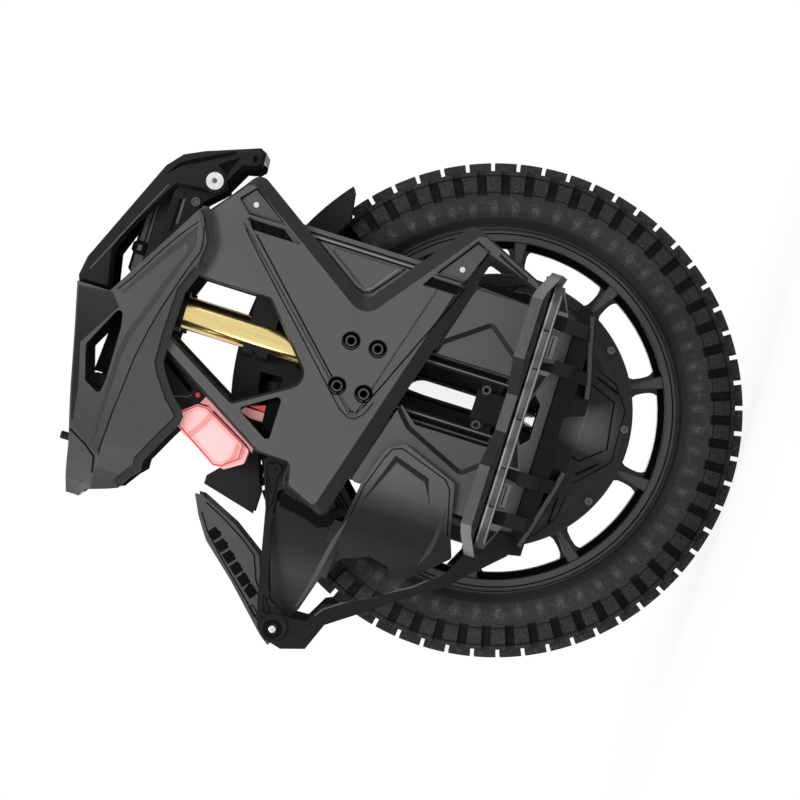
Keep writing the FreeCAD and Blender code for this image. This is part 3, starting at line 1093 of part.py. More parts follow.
def build_fender():
    """Flared rear fender: a lower leaf, an upper leaf and the ridge that joins them."""
    base_y = COVER_OUT + FENDER_WALL
    lower_leaf, lower_region = plan_leaf(FENDER_PLAN_LOWER_SHARES, base_y)
    upper_leaf, upper_region = plan_leaf(FENDER_PLAN_UPPER_SHARES, base_y)
    lower = on_frame(FENDER_LOWER_SHARES)
    upper = on_frame(FENDER_UPPER_SHARES)
    ridge = on_frame(FENDER_RIDGE_SHARES)
    low_part = lower_leaf.common(slab(lower, even(lower, CORNER_ROUND), 0, base_y + OVER))
    high_part = upper_leaf.common(slab(upper, even(upper, SMALL_ROUND), 0, base_y + OVER))
    shelf = [(x, z - FENDER_SHELF) for x, z in ridge[2:4]]
    band = prism([ridge[3], ridge[2], shelf[0], shelf[1]], 0, base_y)
    joined = low_part.fuse(high_part).fuse(band.common(lower_region.fuse(upper_region)))
    save_pair("rear_fender", joined.removeSplitter())


def vents(line_shares, length, y_from, y_to):
    """Row of slanted vent slots along a line of the side view."""
    (x0, z0), (x1, z1) = on_frame(line_shares)
    slots = []
    for i in range(VENT_COUNT):
        along = i / (VENT_COUNT - 1)
        x = x0 + (x1 - x0) * along
        z = z0 + (z1 - z0) * along
        slot = block(x - length / 2, x + length / 2, y_from, y_to, z - VENT_WIDTH / 2, z + VENT_WIDTH / 2)
        slot.rotate(Vector(x, 0, z), Y_AXIS, VENT_LEAN)
        slots.append(slot)
    return Part.makeCompound(slots)


def build_mudguard():
    """Vented rear mudguard, its cross tube, arms and screws."""
    pivot_x, pivot_z = on_frame(PIVOT_SHARES)[0]
    outline = on_frame(FLAP_SHARES)
    half = FLAP_WIDTH / 2
    flap = slab(outline, even(outline, SMALL_ROUND), -half, half)
    hollow = on_frame(FLAP_INNER_SHARES)
    flap = flap.cut(prism(hollow, FLAP_WALL - half, half - FLAP_WALL))
    notch_half = FLAP_NOTCH_WIDTH / 2
    flap = flap.cut(block(-FLAP_NOTCH_LENGTH, 0, -notch_half, notch_half, AXLE_Z, FRAME_Z + FRAME_HEIGHT))
    side_in = half - FLAP_WALL - OVER
    flap = flap.cut(vents(VENT_LINE_SHARES, VENT_LENGTH, side_in, half + OVER))
    flap = flap.cut(vents(VENT_LINE_SHARES, VENT_LENGTH, -half - OVER, -side_in))
    flap = flap.cut(vents(VENT_TOP_LINE_SHARES, VENT_TOP_LENGTH, VENT_MARGIN - half, half - VENT_MARGIN))
    tube_r = PIVOT_TUBE_DIAMETER / 2
    flap = flap.cut(rod_y(pivot_x, pivot_z, tube_r + PIVOT_GAP, -half - OVER, half + OVER))
    save("rear_mudguard", flap)

    tube = rod_y(pivot_x, pivot_z, tube_r, -ARM_OUT, ARM_OUT)
    cap = rod_y(pivot_x, pivot_z, PIVOT_CAP_DIAMETER / 2, ARM_OUT, ARM_OUT + PIVOT_CAP_THICKNESS)
    save("mudguard_tube", tube.fuse(cap).fuse(right_of(cap)))
    cap_y = ARM_OUT + PIVOT_CAP_THICKNESS
    screws = [rod_y(pivot_x, pivot_z, PIVOT_SCREW_DIAMETER / 2, cap_y, cap_y + PIVOT_SCREW_HEIGHT)]

    bore = rod_y(pivot_x, pivot_z, tube_r + PIVOT_GAP, 0, ARM_OUT + OVER)
    upper_out = on_frame(UPPER_ARM_SHARES)
    upper = slab(upper_out, even(upper_out, SMALL_ROUND), ARM_IN, ARM_MID)
    pocket = on_frame(UPPER_ARM_POCKET_SHARES)
    upper = upper.cut(slab(pocket, even(pocket, SMALL_ROUND), ARM_MID - ARM_POCKET_DEPTH, ARM_MID + OVER))
    lower_out = on_frame(LOWER_ARM_SHARES)
    lower = slab(lower_out, even(lower_out, SMALL_ROUND), ARM_MID + ARM_GAP, ARM_OUT)
    pocket = on_frame(LOWER_ARM_POCKET_SHARES)
    lower = lower.cut(slab(pocket, even(pocket, SMALL_ROUND), ARM_OUT - ARM_POCKET_DEPTH, ARM_OUT + OVER))
    clearance = ARM_SCREW_DIAMETER / 2 + SCREW_CLEARANCE
    x, z = on_frame(UPPER_ARM_END_SHARES)[0]
    upper = upper.cut(rod_y(x, z, clearance, 0, ARM_OUT)).cut(bore)
    screws.append(socket_screw(x, z, ARM_MID, ARM_SCREW_HEAD, ARM_SCREW_HEAD_HEIGHT, ARM_SCREW_DIAMETER,
                               ARM_SCREW_LENGTH))
    x, z = on_frame(LOWER_ARM_END_SHARES)[0]
    lower = lower.cut(rod_y(x, z, clearance, 0, ARM_OUT + OVER)).cut(bore)
    screws.append(socket_screw(x, z, ARM_OUT, ARM_SCREW_HEAD, ARM_SCREW_HEAD_HEIGHT, ARM_SCREW_DIAMETER,
                               ARM_SCREW_LENGTH))
    save("mudguard_upper_arms", upper, right_of(upper))
    save("mudguard_lower_arms", lower, right_of(lower))
    save("arm_screws", *(screws + [right_of(screw) for screw in screws]))


def build_lights():
    """Tail-light lenses in their housings behind the side plates."""
    y_in = LIGHT_INNER_GAP / 2
    y_out = y_in + LIGHT_DEPTH
    outline = on_frame(LIGHT_LENS_SHARES)
    lens = slab(outline, even(outline, CORNER_ROUND), y_in, y_out)
    save_both("tail_light_lenses", lens)
    housing = prism(on_frame(LIGHT_HOUSING_SHARES), y_in, CASE_OUT)
    save_both("tail_light_housings", housing.cut(lens))


def head_section(station, shrink):
    """Closed section of the head across X at one station, drawn in by a wall."""
    along, crease, high, crease_half, high_half = station
    x = HEAD_REAR + along * HEAD_LENGTH
    half = HEAD_WIDTH / 2
    crease_z = HEAD_Z + crease * HEAD_HEIGHT
    crease_y = crease_half * half - shrink
    skirt_z = HEAD_Z - HEAD_SKIRT
    skirt_y = crease_y - HEAD_LEAN_SHARE * (crease_z - skirt_z)
    side = [(skirt_y, skirt_z), (crease_y, crease_z), (high_half * half - shrink, HEAD_Z + high * HEAD_HEIGHT - shrink)]
    corners = [Vector(x, y, z) for y, z in side]
    corners = corners + [Vector(x, -y, z) for y, z in reversed(side)]
    return Part.makePolygon(corners + corners[:1])


def head_body(shrink):
    """Head drawn as one closed body, drawn in by a wall."""
    return Part.makeLoft([head_section(s, shrink) for s in HEAD_STATION_SHARES], True, True)


def build_head():
    """Head shell split into panels, roof and tail cap, with the front visor and electronics."""
    outer = head_body(0)
    lower = on_head(HEAD_LOWER_SHARES)
    bands = [HEAD_BAND] * (len(lower) - 3) + [0] * 3
    upper_zone = prism(inset(lower, bands), -HEAD_WIDTH, HEAD_WIDTH)
    band_zone = prism(lower, -HEAD_WIDTH, HEAD_WIDTH).cut(upper_zone)
    body = outer.common(upper_zone).fuse(head_body(HEAD_BAND_TUCK).common(band_zone))
    front_x = HEAD_REAR + HEAD_LENGTH
    tail_wall = Part.makeBox(HEAD_WALL, HEAD_WIDTH, HEAD_HEIGHT * 4)
    tail_wall.translate(Vector(HEAD_REAR, -HEAD_WIDTH / 2, AXLE_Z))
    shell = body.cut(head_body(HEAD_WALL).cut(tail_wall))
    shell = shell.cut(prism(on_head(HEAD_FRONT_CUT_SHARES), -HEAD_WIDTH, HEAD_WIDTH))
    window = on_head(HEAD_WINDOW_SHARES)
    shell = shell.cut(slab(window, even(window, CORNER_ROUND), -HEAD_WIDTH, HEAD_WIDTH))
    cap_zone = prism(on_head(TAIL_CAP_SHARES), -HEAD_WIDTH, HEAD_WIDTH)
    roof_x = on_head(TAIL_CAP_SHARES)[1][0]
    roof_zone = block(roof_x, front_x, -ROOF_WIDTH / 2, ROOF_WIDTH / 2, AXLE_Z, HEAD_Z + HEAD_HEIGHT * 2)
    cap = shell.common(cap_zone)
    rest = shell.cut(cap_zone)
    left_zone = block(HEAD_REAR - OVER, front_x + OVER, ROOF_WIDTH / 2, HEAD_WIDTH, AXLE_Z,
                      HEAD_Z + HEAD_HEIGHT * 2)
    panel = rest.common(left_zone)
    pad = block(HEAD_PAD_X, HEAD_PAD_X + HEAD_PAD_WIDTH, PLATE_OUT, HEAD_WIDTH, AXLE_Z + HEAD_PAD_RISE,
                AXLE_Z + HEAD_PAD_RISE + HEAD_PAD_HEIGHT)
    panel = panel.fuse(pad.common(outer))
    save_pair("head_panel", panel.removeSplitter())
    save("head_roof", rest.common(roof_zone))

    button_r = BUTTON_DIAMETER / 2
    floor_z = AXLE_Z + BUTTON_BOSS_FLOOR
    boss = rod_z(BUTTON_X, 0, BUTTON_BOSS_DIAMETER / 2, floor_z, HEAD_Z + HEAD_HEIGHT).common(outer)
    cap = cap.fuse(boss).cut(rod_z(BUTTON_X, 0, button_r + BUTTON_GAP, AXLE_Z, HEAD_Z + HEAD_HEIGHT))
    save("tail_cap", cap.removeSplitter())
    button = rod_z(BUTTON_X, 0, button_r, floor_z - BUTTON_GAP, AXLE_Z + BUTTON_TOP)
    button = button.makeFillet(BUTTON_ROUNDING, [edge for edge in button.Edges
                                                 if edge.BoundBox.ZMin > AXLE_Z + BUTTON_TOP - OVER / 2])
    flange = rod_z(BUTTON_X, 0, BUTTON_FLANGE_DIAMETER / 2, floor_z - BUTTON_GAP - BUTTON_FLANGE_HEIGHT,
                   floor_z - BUTTON_GAP)
    save("power_button", button.fuse(flange))

    build_visor()
    build_chassis()


def build_visor():
    """Front visor with its lamp lens and its two bright bolts."""
    outline = on_head(VISOR_SHARES)
    half_insets = even(outline, VISOR_BEVEL)
    left = bevelled(outline, even(outline, 0), 0, VISOR_Y, VISOR_BEVEL, half_insets)
    visor = left.fuse(right_of(left))
    hollow = prism(on_head(VISOR_INNER_SHARES), VISOR_SIDE_WALL - VISOR_Y, VISOR_Y - VISOR_SIDE_WALL)
    visor = visor.cut(hollow)
    x, z = on_head(VISOR_BOLT_SHARES)[0]
    inner_y = VISOR_Y - VISOR_SIDE_WALL
    pockets = []
    for shares in VISOR_POCKETS_SHARES:
        points = on_head(shares)
        pockets.append(prism(points, VISOR_Y - VISOR_POCKET_DEPTH, VISOR_Y + OVER))
    boss = rod_y(x, z, VISOR_BOSS_DIAMETER / 2, inner_y, VISOR_Y + VISOR_BOSS_HEIGHT)
    seat_y = VISOR_Y + VISOR_BOSS_HEIGHT
    hole = rod_y(x, z, VISOR_BOLT_DIAMETER / 2 + SCREW_CLEARANCE, inner_y - OVER, seat_y + OVER)
    bolt = socket_screw(x, z, seat_y, VISOR_BOLT_HEAD, VISOR_BOLT_HEAD_HEIGHT, VISOR_BOLT_DIAMETER,
                        VISOR_BOLT_LENGTH)
    for pocket in pockets:
        visor = visor.cut(pocket).cut(right_of(pocket))
    visor = visor.fuse(boss).fuse(right_of(boss))
    visor = visor.cut(hole).cut(right_of(hole))
    save("visor_bolts", bolt, right_of(bolt))

    front_top = outline[5]
    front_low = outline[6]
    lean = math.atan2(front_low[0] - front_top[0], front_top[1] - front_low[1])
    mid_x = (front_top[0] + front_low[0]) / 2
    mid_z = (front_top[1] + front_low[1]) / 2

    def lamp(width, height, depth_from, depth_to):
        """Rounded block square to the sloping front face."""
        corners = [Vector(0, -width / 2, -height / 2), Vector(0, width / 2, -height / 2),
                   Vector(0, width / 2, height / 2), Vector(0, -width / 2, height / 2)]
        corners = [corner + Vector(depth_from, 0, 0) for corner in corners]
        face = Part.Face(closed_wire(corners, even(corners, HEADLIGHT_CORNER)))
        solid = face.extrude(Vector(depth_to - depth_from, 0, 0))
        solid.rotate(ORIGIN, Y_AXIS, -math.degrees(lean))
        solid.translate(Vector(mid_x, 0, mid_z))
        return solid

    lens_in = -HEADLIGHT_LIP
    opening = lamp(HEADLIGHT_WIDTH, HEADLIGHT_HEIGHT, lens_in, OVER)
    light_hole = lamp(HEADLIGHT_WIDTH - HEADLIGHT_LIP * 2, HEADLIGHT_HEIGHT - HEADLIGHT_LIP * 2, -VISOR_SKIN * 2, OVER)
    save("front_visor", visor.cut(opening).cut(light_hole).removeSplitter())
    save("headlight_lens", lamp(HEADLIGHT_WIDTH - HEADLIGHT_GAP * 2, HEADLIGHT_HEIGHT - HEADLIGHT_GAP * 2, lens_in, 0))


def build_chassis():
    """Crown plate with fork collars and brackets, and the controller on top of it."""
    half = CROWN_LENGTH / 2
    chassis = block(-half, half, -CASE_OUT, CASE_OUT, CROWN_Z, CROWN_TOP)
    tube_r = FORK_TUBE_DIAMETER / 2 + FORK_FIT_GAP
    x, z = on_head(VISOR_BOLT_SHARES)[0]
    bracket_out = VISOR_Y - VISOR_SIDE_WALL - BRACKET_GAP
    front = on_head(FRONT_BRACKET_SHARES)
    rear = on_frame(REAR_BRACKET_SHARES)
    slot = on_frame(REAR_BRACKET_SLOT_SHARES)
    rear_y = REAR_BRACKET_TRACK / 2
    for side in (1, -1):
        y = side * FORK_Y
        collar = rod_z(0, y, COLLAR_DIAMETER / 2, CROWN_Z - COLLAR_HEIGHT, CROWN_Z)
        bracket = slab(front, even(front, CORNER_ROUND / 2), bracket_out - BRACKET_THICKNESS, bracket_out)
        bracket = bracket.cut(rod_y(x, z, VISOR_BOLT_DIAMETER / 2 + SCREW_CLEARANCE,
                                    bracket_out - BRACKET_THICKNESS - OVER, bracket_out + OVER))
        hanger = slab(rear, even(rear, SMALL_ROUND), rear_y, rear_y + BRACKET_THICKNESS)
        hanger = hanger.cut(prism(slot, rear_y - OVER, rear_y + BRACKET_THICKNESS + OVER))
        if side < 0:
            bracket = right_of(bracket)
            hanger = right_of(hanger)
        chassis = chassis.fuse(collar).fuse(bracket).fuse(hanger)
        chassis = chassis.cut(rod_z(0, y, tube_r, CROWN_Z - COLLAR_HEIGHT - OVER, CROWN_TOP + OVER))
    save("chassis", chassis.removeSplitter())

    y_half = CONTROLLER_WIDTH / 2
    x_end = CONTROLLER_REAR + CONTROLLER_LENGTH
    top = CROWN_TOP + CONTROLLER_HEIGHT
    box = block(CONTROLLER_REAR, x_end, -y_half, y_half, CROWN_TOP, top)
    box = box.makeChamfer(CORNER_ROUND, [edge for edge in box.Edges if edge.BoundBox.ZMin > top - OVER])
    pitch = CONTROLLER_LENGTH / (CONTROLLER_FIN_COUNT + 1)
    fins = []
    for i in range(CONTROLLER_FIN_COUNT):
        x = CONTROLLER_REAR + pitch * (i + 1)
        fins.append(block(x - CONTROLLER_FIN_WIDTH / 2, x + CONTROLLER_FIN_WIDTH / 2, CONTROLLER_WALL - y_half,
                          y_half - CONTROLLER_WALL, top - CONTROLLER_FIN_DEPTH, top + OVER))
    wall = CONTROLLER_WALL
    hollow = block(CONTROLLER_REAR + wall, x_end - wall, wall - y_half, y_half - wall, CROWN_TOP + wall,
                   top - CONTROLLER_FIN_DEPTH - wall)
    save("controller_box", box.cut(Part.makeCompound(fins)).cut(hollow))
    inside = wall + BOARD_GAP
    floor_z = CROWN_TOP + wall + BOARD_GAP
    board = block(CONTROLLER_REAR + inside, x_end - inside, inside - y_half, y_half - inside, floor_z,
                  floor_z + BOARD_THICKNESS)
    spacing = CONTROLLER_LENGTH / (BOARD_CHIP_COUNT + 1)
    for i in range(BOARD_CHIP_COUNT):
        x = CONTROLLER_REAR + spacing * (i + 1)
        for y in (-y_half / 2, y_half / 2):
            chip = block(x - BOARD_CHIP_SIZE / 2, x + BOARD_CHIP_SIZE / 2, y - BOARD_CHIP_SIZE / 2,
                         y + BOARD_CHIP_SIZE / 2, floor_z + BOARD_THICKNESS,
                         floor_z + BOARD_THICKNESS + BOARD_CHIP_HEIGHT)
            board = board.fuse(chip)
    save("controller_board", board)


def along_x(z_from, z_to, points):
    """Plan outline of (x, y) points pulled from one height to another."""
    corners = [Vector(x, y, z_from) for x, y in points]
    face = Part.Face(Part.makePolygon(corners + corners[:1]))
    return face.extrude(Vector(0, 0, z_to - z_from))


def build_pedal():
    """Folding pedal: a bright hinge bracket, a black deck frame and its studs."""
    depth = PEDAL_REACH - PEDAL_START
    near = HINGE_Y + PEDAL_START
    base = HINGE_Z + PEDAL_RISE
    top = base + PEDAL_HEIGHT
    barrel_r = HINGE_BARREL_DIAMETER / 2
    bar_in = HINGE_Y + RAIL_BAR_START
    bar_out = bar_in + RAIL_BAR_WIDTH
    bar_x = PEDAL_LENGTH * PEDAL_BAR_SHARE
    bracket = block(-bar_x, bar_x, bar_in, bar_out, base - RAIL_BAR_HEIGHT, base)
    gap = HINGE_BARREL_LENGTH / 2
    for side in (-1, 1):
        centre = side * HINGE_SPREAD / 2
        barrel = Part.makeCylinder(barrel_r, HINGE_BARREL_LENGTH, Vector(centre - gap, HINGE_Y, HINGE_Z), X_AXIS)
        link = block(centre - gap, centre + gap, HINGE_Y, bar_out, HINGE_Z - LINK_HEIGHT / 2, base)
        bracket = bracket.fuse(barrel).fuse(link)
        foot = gap + HINGE_SIDE_GAP + HINGE_LUG_THICKNESS
        for way in (-1, 1):
            x = centre + way * foot
            low = base - RAIL_BAR_HEIGHT
            tip = side * bar_x if way == side else x + way * GUSSET_RUN
            gusset = prism([(x, low), (tip, low), (x, low - GUSSET_DROP)], bar_out - GUSSET_WIDTH, bar_out)
            bracket = bracket.fuse(gusset)
    for side in (-1, 1):
        centre = side * HINGE_SPREAD / 2
        bracket = bracket.cut(Part.makeCylinder(HINGE_PIN_DIAMETER / 2 + HINGE_PIN_GAP, HINGE_BARREL_LENGTH * 2,
                                                Vector(centre - gap * 2, HINGE_Y, HINGE_Z), X_AXIS))
    bracket = bracket.removeSplitter()

    plan = [(sx * PEDAL_LENGTH, near + sy * depth) for sx, sy in PEDAL_PLAN_SHARES]
    inner = inset(plan, even(plan, PEDAL_RIM_WIDTH))
    low = base - PEDAL_HEIGHT
    hoop = along_x(low, top + OVER, plan).cut(along_x(low - OVER, top + OVER * 2, inner))
    profile = [(sx * PEDAL_LENGTH, base + sz * PEDAL_HEIGHT) for sx, sz in PEDAL_PROFILE_SHARES]
    hoop = hoop.common(prism(profile, near - OVER, HINGE_Y + PEDAL_REACH + OVER))
    deck_top = top - PEDAL_DECK_DROP - PEDAL_DECK_THICKNESS / 2
    deck = along_x(deck_top - PEDAL_DECK_THICKNESS, deck_top, inset(plan, even(plan, PEDAL_RIM_WIDTH / 2)))
    cells = []
    studs = []
    cell_x = (PEDAL_LENGTH - PEDAL_END_MARGIN * 2) / PEDAL_CELL_COLUMNS
    cell_y = (depth - PEDAL_CELL_MARGIN * 2) / PEDAL_CELL_ROWS
    corner_x = PEDAL_END_MARGIN - PEDAL_LENGTH / 2
    corner_y = near + PEDAL_CELL_MARGIN
    for column in range(PEDAL_CELL_COLUMNS):
        for row in range(PEDAL_CELL_ROWS):
            x = corner_x + cell_x * column + PEDAL_CELL_GAP / 2
            y = corner_y + cell_y * row + PEDAL_CELL_GAP / 2
            corners = [Vector(x, y, 0), Vector(x + cell_x - PEDAL_CELL_GAP, y, 0),
                       Vector(x + cell_x - PEDAL_CELL_GAP, y + cell_y - PEDAL_CELL_GAP, 0),
                       Vector(x, y + cell_y - PEDAL_CELL_GAP, 0)]
            face = Part.Face(closed_wire(corners, even(corners, PEDAL_CELL_CORNER)))
            cells.append(face.extrude(Vector(0, 0, top + OVER)))
            if column > 0 and row > 0:
                studs.append(rod_z(corner_x + cell_x * column, corner_y + cell_y * row, STUD_DIAMETER / 2,
                                   deck_top, deck_top + PEDAL_DECK_DROP + STUD_HEIGHT))
    pedal = hoop.fuse(deck.cut(Part.makeCompound(cells))).cut(bracket).removeSplitter()
    pieces = [pedal, bracket, Part.makeCompound(studs)]
    for piece in pieces:
        piece.rotate(Vector(0, HINGE_Y, HINGE_Z), X_AXIS, PEDAL_TILT)
    save_pair("pedal", pieces[0])
    save_pair("pedal_bracket", pieces[1])
    save_pair("pedal_studs", pieces[2])


os.makedirs("parts", exist_ok=True)
build_wheel()
build_carrier()
build_fork()
build_frame()
build_mudguard()
build_lights()
build_head()
build_pedal()
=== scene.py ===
import math

import bmesh
import bpy
from mathutils import Matrix, Vector
from mathutils.bvhtree import BVHTree
from mathutils.geometry import tessellate_polygon


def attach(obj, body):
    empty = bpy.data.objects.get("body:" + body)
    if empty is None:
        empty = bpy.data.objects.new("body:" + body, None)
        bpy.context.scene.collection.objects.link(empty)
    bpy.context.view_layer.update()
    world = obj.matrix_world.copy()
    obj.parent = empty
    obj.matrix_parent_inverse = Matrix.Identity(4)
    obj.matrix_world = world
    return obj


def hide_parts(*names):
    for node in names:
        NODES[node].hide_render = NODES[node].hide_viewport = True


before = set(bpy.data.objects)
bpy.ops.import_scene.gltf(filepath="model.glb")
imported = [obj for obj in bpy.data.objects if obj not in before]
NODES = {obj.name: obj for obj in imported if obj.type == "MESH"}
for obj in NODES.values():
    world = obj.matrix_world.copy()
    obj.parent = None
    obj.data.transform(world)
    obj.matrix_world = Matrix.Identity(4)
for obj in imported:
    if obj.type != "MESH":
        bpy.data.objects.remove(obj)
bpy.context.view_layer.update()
MM = 0.001
AXLE_Z = 0.25
KNOBS = 60
SPOKES = 10
HUB_FIELDS = 5
# Turn of the painted highlight in each motor cover field, in degrees
PAINTED_SHEEN_ANGLE = 84.0
SCENE = bpy.context.scene

# Depths of surface grain and the reach of worn edges with painted highlight, in metres
PLASTIC_GRAIN = 0.0002
COAT_GRAIN = 0.00012
BRUSH_GRAIN = 0.00006
RUBBER_GRAIN = 0.0005
WORN_HIGHLIGHT_EDGE = 0.0012

# Viewpoint of the side view, and the plane of the side plates, in millimetres from the axle
VIEW_X = -19.0
VIEW_Z = 95.0
VIEW_DISTANCE = 2200.0
PLATE_Y = 110.0
EYE = Vector((VIEW_X * MM, -VIEW_DISTANCE * MM, AXLE_Z + VIEW_Z * MM))

# Trim in millimetres: height and depth about its surface, lower heights, and a step that leaves a line whole
LIFT = 0.4
SINK = 0.6
THIN = 0.3
FINE = 0.25
WHOLE = 400.0
CHAMFER = 0.6
SMALL_CHAMFER = 0.2

# Camera, lamps and floor, in metres and watts
CAMERA_DISTANCE = 5.0
CAMERA_WIDTH = 0.8093
CAMERA_LEAN = math.radians(17.5)
CAMERA_REACH = 50.0
LIT_POINT = (-0.02, 0.0, 0.34)
LAMPS = (
    ("key", (-0.6, -2.4, 2.6), 1.6, 84.0),
    ("front_fill", (2.4, -1.2, 1.4), 1.4, 20.0),
    ("rear_fill", (-2.6, -0.9, 0.9), 1.0, 22.0),
    ("back", (-0.8, 3.0, 1.6), 1.8, 50.0),
)
WORLD_LIGHT = 0.3
FLOOR_HALF = 4.0
FLOOR_DROP = 0.0005


# Materials


def new_material(name):
    """Empty node material with its Principled shader and output."""
    mat = bpy.data.materials.new(name)
    mat.use_nodes = True
    tree = mat.node_tree
    shader = tree.nodes["Principled BSDF"]
    return mat, tree, shader


def add(tree, kind, **values):
    """Node of one kind; values set its properties or, as in_0 and in_1, its inputs."""
    node = tree.nodes.new(kind)
    for key, value in values.items():
        if key.startswith("in_"):
            node.inputs[int(key[3:])].default_value = value
        else:
            setattr(node, key, value)
    return node


def noise(tree, scale, detail=4.0, rough=0.6, stretch=(1, 1, 1)):
    """Noise in the object's own metres."""
    where = add(tree, "ShaderNodeTexCoord")
    mapping = add(tree, "ShaderNodeMapping")
    mapping.inputs["Scale"].default_value = stretch
    tree.links.new(where.outputs["Object"], mapping.inputs["Vector"])
    tex = add(tree, "ShaderNodeTexNoise")
    tex.inputs["Scale"].default_value = scale
    tex.inputs["Detail"].default_value = detail
    tex.inputs["Roughness"].default_value = rough
    tree.links.new(mapping.outputs["Vector"], tex.inputs["Vector"])
    return tex.outputs["Fac"]


def ramp(tree, value, stops):
    """Colour ramp from (place, grey or colour) stops."""
    node = add(tree, "ShaderNodeValToRGB")
    elements = node.color_ramp.elements
    elements.remove(elements[1])
    for number, (where, colour) in enumerate(stops):
        if number:
            element = elements.new(where)
        else:
            element = elements[0]
            element.position = where
        element.color = (*colour, 1) if isinstance(colour, tuple) else (colour, colour, colour, 1)
    tree.links.new(value, node.inputs["Fac"])
    return node.outputs["Color"]


def span(tree, value, low, high, to_low=0.0, to_high=1.0):
    """Value mapped from one span to another, clamped."""
    node = add(tree, "ShaderNodeMapRange")
    node.inputs["From Min"].default_value = low
    node.inputs["From Max"].default_value = high
    node.inputs["To Min"].default_value = to_low
    node.inputs["To Max"].default_value = to_high
    tree.links.new(value, node.inputs["Value"])
    return node.outputs["Result"]


def sum_of(tree, operation, first, second=None):
    """Math node over sockets or numbers."""
    node = add(tree, "ShaderNodeMath", operation=operation)
    for socket, value in zip(node.inputs, (first, second)):
        if isinstance(value, (int, float)):
            socket.default_value = value
        elif value is not None:
            tree.links.new(value, socket)
    return node.outputs[0]


def between(tree, value, low, high, soft):
    """1 inside a span, with soft ends."""
    rise = span(tree, value, low - soft, low + soft)
    return sum_of(tree, "MULTIPLY", rise, span(tree, value, high - soft, high + soft, 1.0, 0.0))


def mix(tree, factor, first, second, blend="MIX"):
    """Colour mix; colours are sockets or tuples."""
    node = add(tree, "ShaderNodeMix", data_type="RGBA", blend_type=blend)
    sockets = {s.identifier: s for s in node.inputs}
    for key, value in (("Factor_Float", factor), ("A_Color", first), ("B_Color", second)):
        if isinstance(value, (int, float)):
            sockets[key].default_value = value
        elif isinstance(value, tuple):
            sockets[key].default_value = (*value, 1)
        else:
            tree.links.new(value, sockets[key])
    return [s for s in node.outputs if s.identifier == "Result_Color"][0]


def bump(tree, shader, height, distance, strength=0.4):
    """Bump of a height in metres into the shader's normal."""
    node = add(tree, "ShaderNodeBump")
    node.inputs["Strength"].default_value = strength
    node.inputs["Distance"].default_value = distance
    tree.links.new(height, node.inputs["Height"])
    tree.links.new(node.outputs["Normal"], shader.inputs["Normal"])


def part(tree, kind, axis):
    """One axis of the piece's own coordinates or normal."""
    where = add(tree, "ShaderNodeTexCoord")
    parts = add(tree, "ShaderNodeSeparateXYZ")
    tree.links.new(where.outputs[kind], parts.inputs["Vector"])
    return parts.outputs[axis]


def facing(tree, low, high):
    """0 to 1 as the piece's own surface turns towards its sides."""
    return span(tree, sum_of(tree, "ABSOLUTE", part(tree, "Normal", "Y")), low, high)


def edges(tree, radius):
    """1 near an edge or corner, from the rounded normal against the plain one."""
    soft = add(tree, "ShaderNodeBevel", samples=4)
    soft.inputs["Radius"].default_value = radius
    plain = add(tree, "ShaderNodeNewGeometry")
    dot = add(tree, "ShaderNodeVectorMath", operation="DOT_PRODUCT")
    tree.links.new(soft.outputs["Normal"], dot.inputs[0])
    tree.links.new(plain.outputs["Normal"], dot.inputs[1])
    return span(tree, dot.outputs["Value"], 0.99, 0.85)


def grey(value):
    """Faintly cool grey of one value; a colour stays as it is."""
    return (value, value, value * 1.01) if isinstance(value, float) else value


def plastic(name, flat, turned, rough, grain=1400.0, specular=0.25, wear_and_highlight=0.0, turn=(0.72, 0.97), painted_shading=None):
    """Moulded plastic with fine grain and painted shade where it turns from the side; if asked, paler scuffed
    edges, partly wear and partly painted highlight, and painted shade and highlight along one axis.
    """
    mat, tree, shader = new_material(name)
    cloud = noise(tree, 9.0)
    # Painted shade: faces turned from the side take the darker turned colour.
    base = mix(tree, facing(tree, *turn), grey(turned), grey(flat))
    shade = ramp(tree, cloud, ((0.3, 0.9), (0.7, 1.06)))
    colour = mix(tree, 1.0, base, shade, "MULTIPLY")
    # Painted shade and highlight along one axis of the piece.
    if painted_shading:
        axis, low, high, stops = painted_shading
        along = span(tree, part(tree, "Object", axis), low, high)
        colour = mix(tree, 1.0, colour, ramp(tree, along, stops), "MULTIPLY")
    # Scuffed edges made lighter: partly wear, partly painted highlight along the edges.
    if wear_and_highlight:
        scuff_and_glint_patches = span(tree, noise(tree, 140.0, 6.0), 0.45, 0.62)
        mask = sum_of(tree, "MULTIPLY", edges(tree, WORN_HIGHLIGHT_EDGE), scuff_and_glint_patches)
        amount = span(tree, mask, 0.0, 1.0, 0.0, wear_and_highlight)
        colour = mix(tree, amount, colour, tuple(min(1.0, c * 2.0) for c in grey(flat)))
    tree.links.new(colour, shader.inputs["Base Color"])
    tree.links.new(span(tree, cloud, 0.3, 0.7, rough - 0.05, rough + 0.07), shader.inputs["Roughness"])
    shader.inputs["Specular IOR Level"].default_value = specular
    bump(tree, shader, noise(tree, grain, 2.0), PLASTIC_GRAIN, 0.35)
    return mat


def metal(name, colour, rough, brush=None, tone=0.12):
    """Metal with a cloudy tone and, where asked, brush lines along one way."""
    mat, tree, shader = new_material(name)
    shader.inputs["Metallic"].default_value = 1.0
    lines = noise(tree, 220.0, 3.0, 0.6, brush or (1, 1, 1))
    darker = tuple(c * (1 - tone) for c in colour)
    tree.links.new(mix(tree, span(tree, lines, 0.35, 0.65), darker, colour), shader.inputs["Base Color"])
    tree.links.new(span(tree, lines, 0.3, 0.7, rough * 0.8, rough * 1.25), shader.inputs["Roughness"])
    if brush:
        bump(tree, shader, lines, BRUSH_GRAIN, 0.25)
    return mat


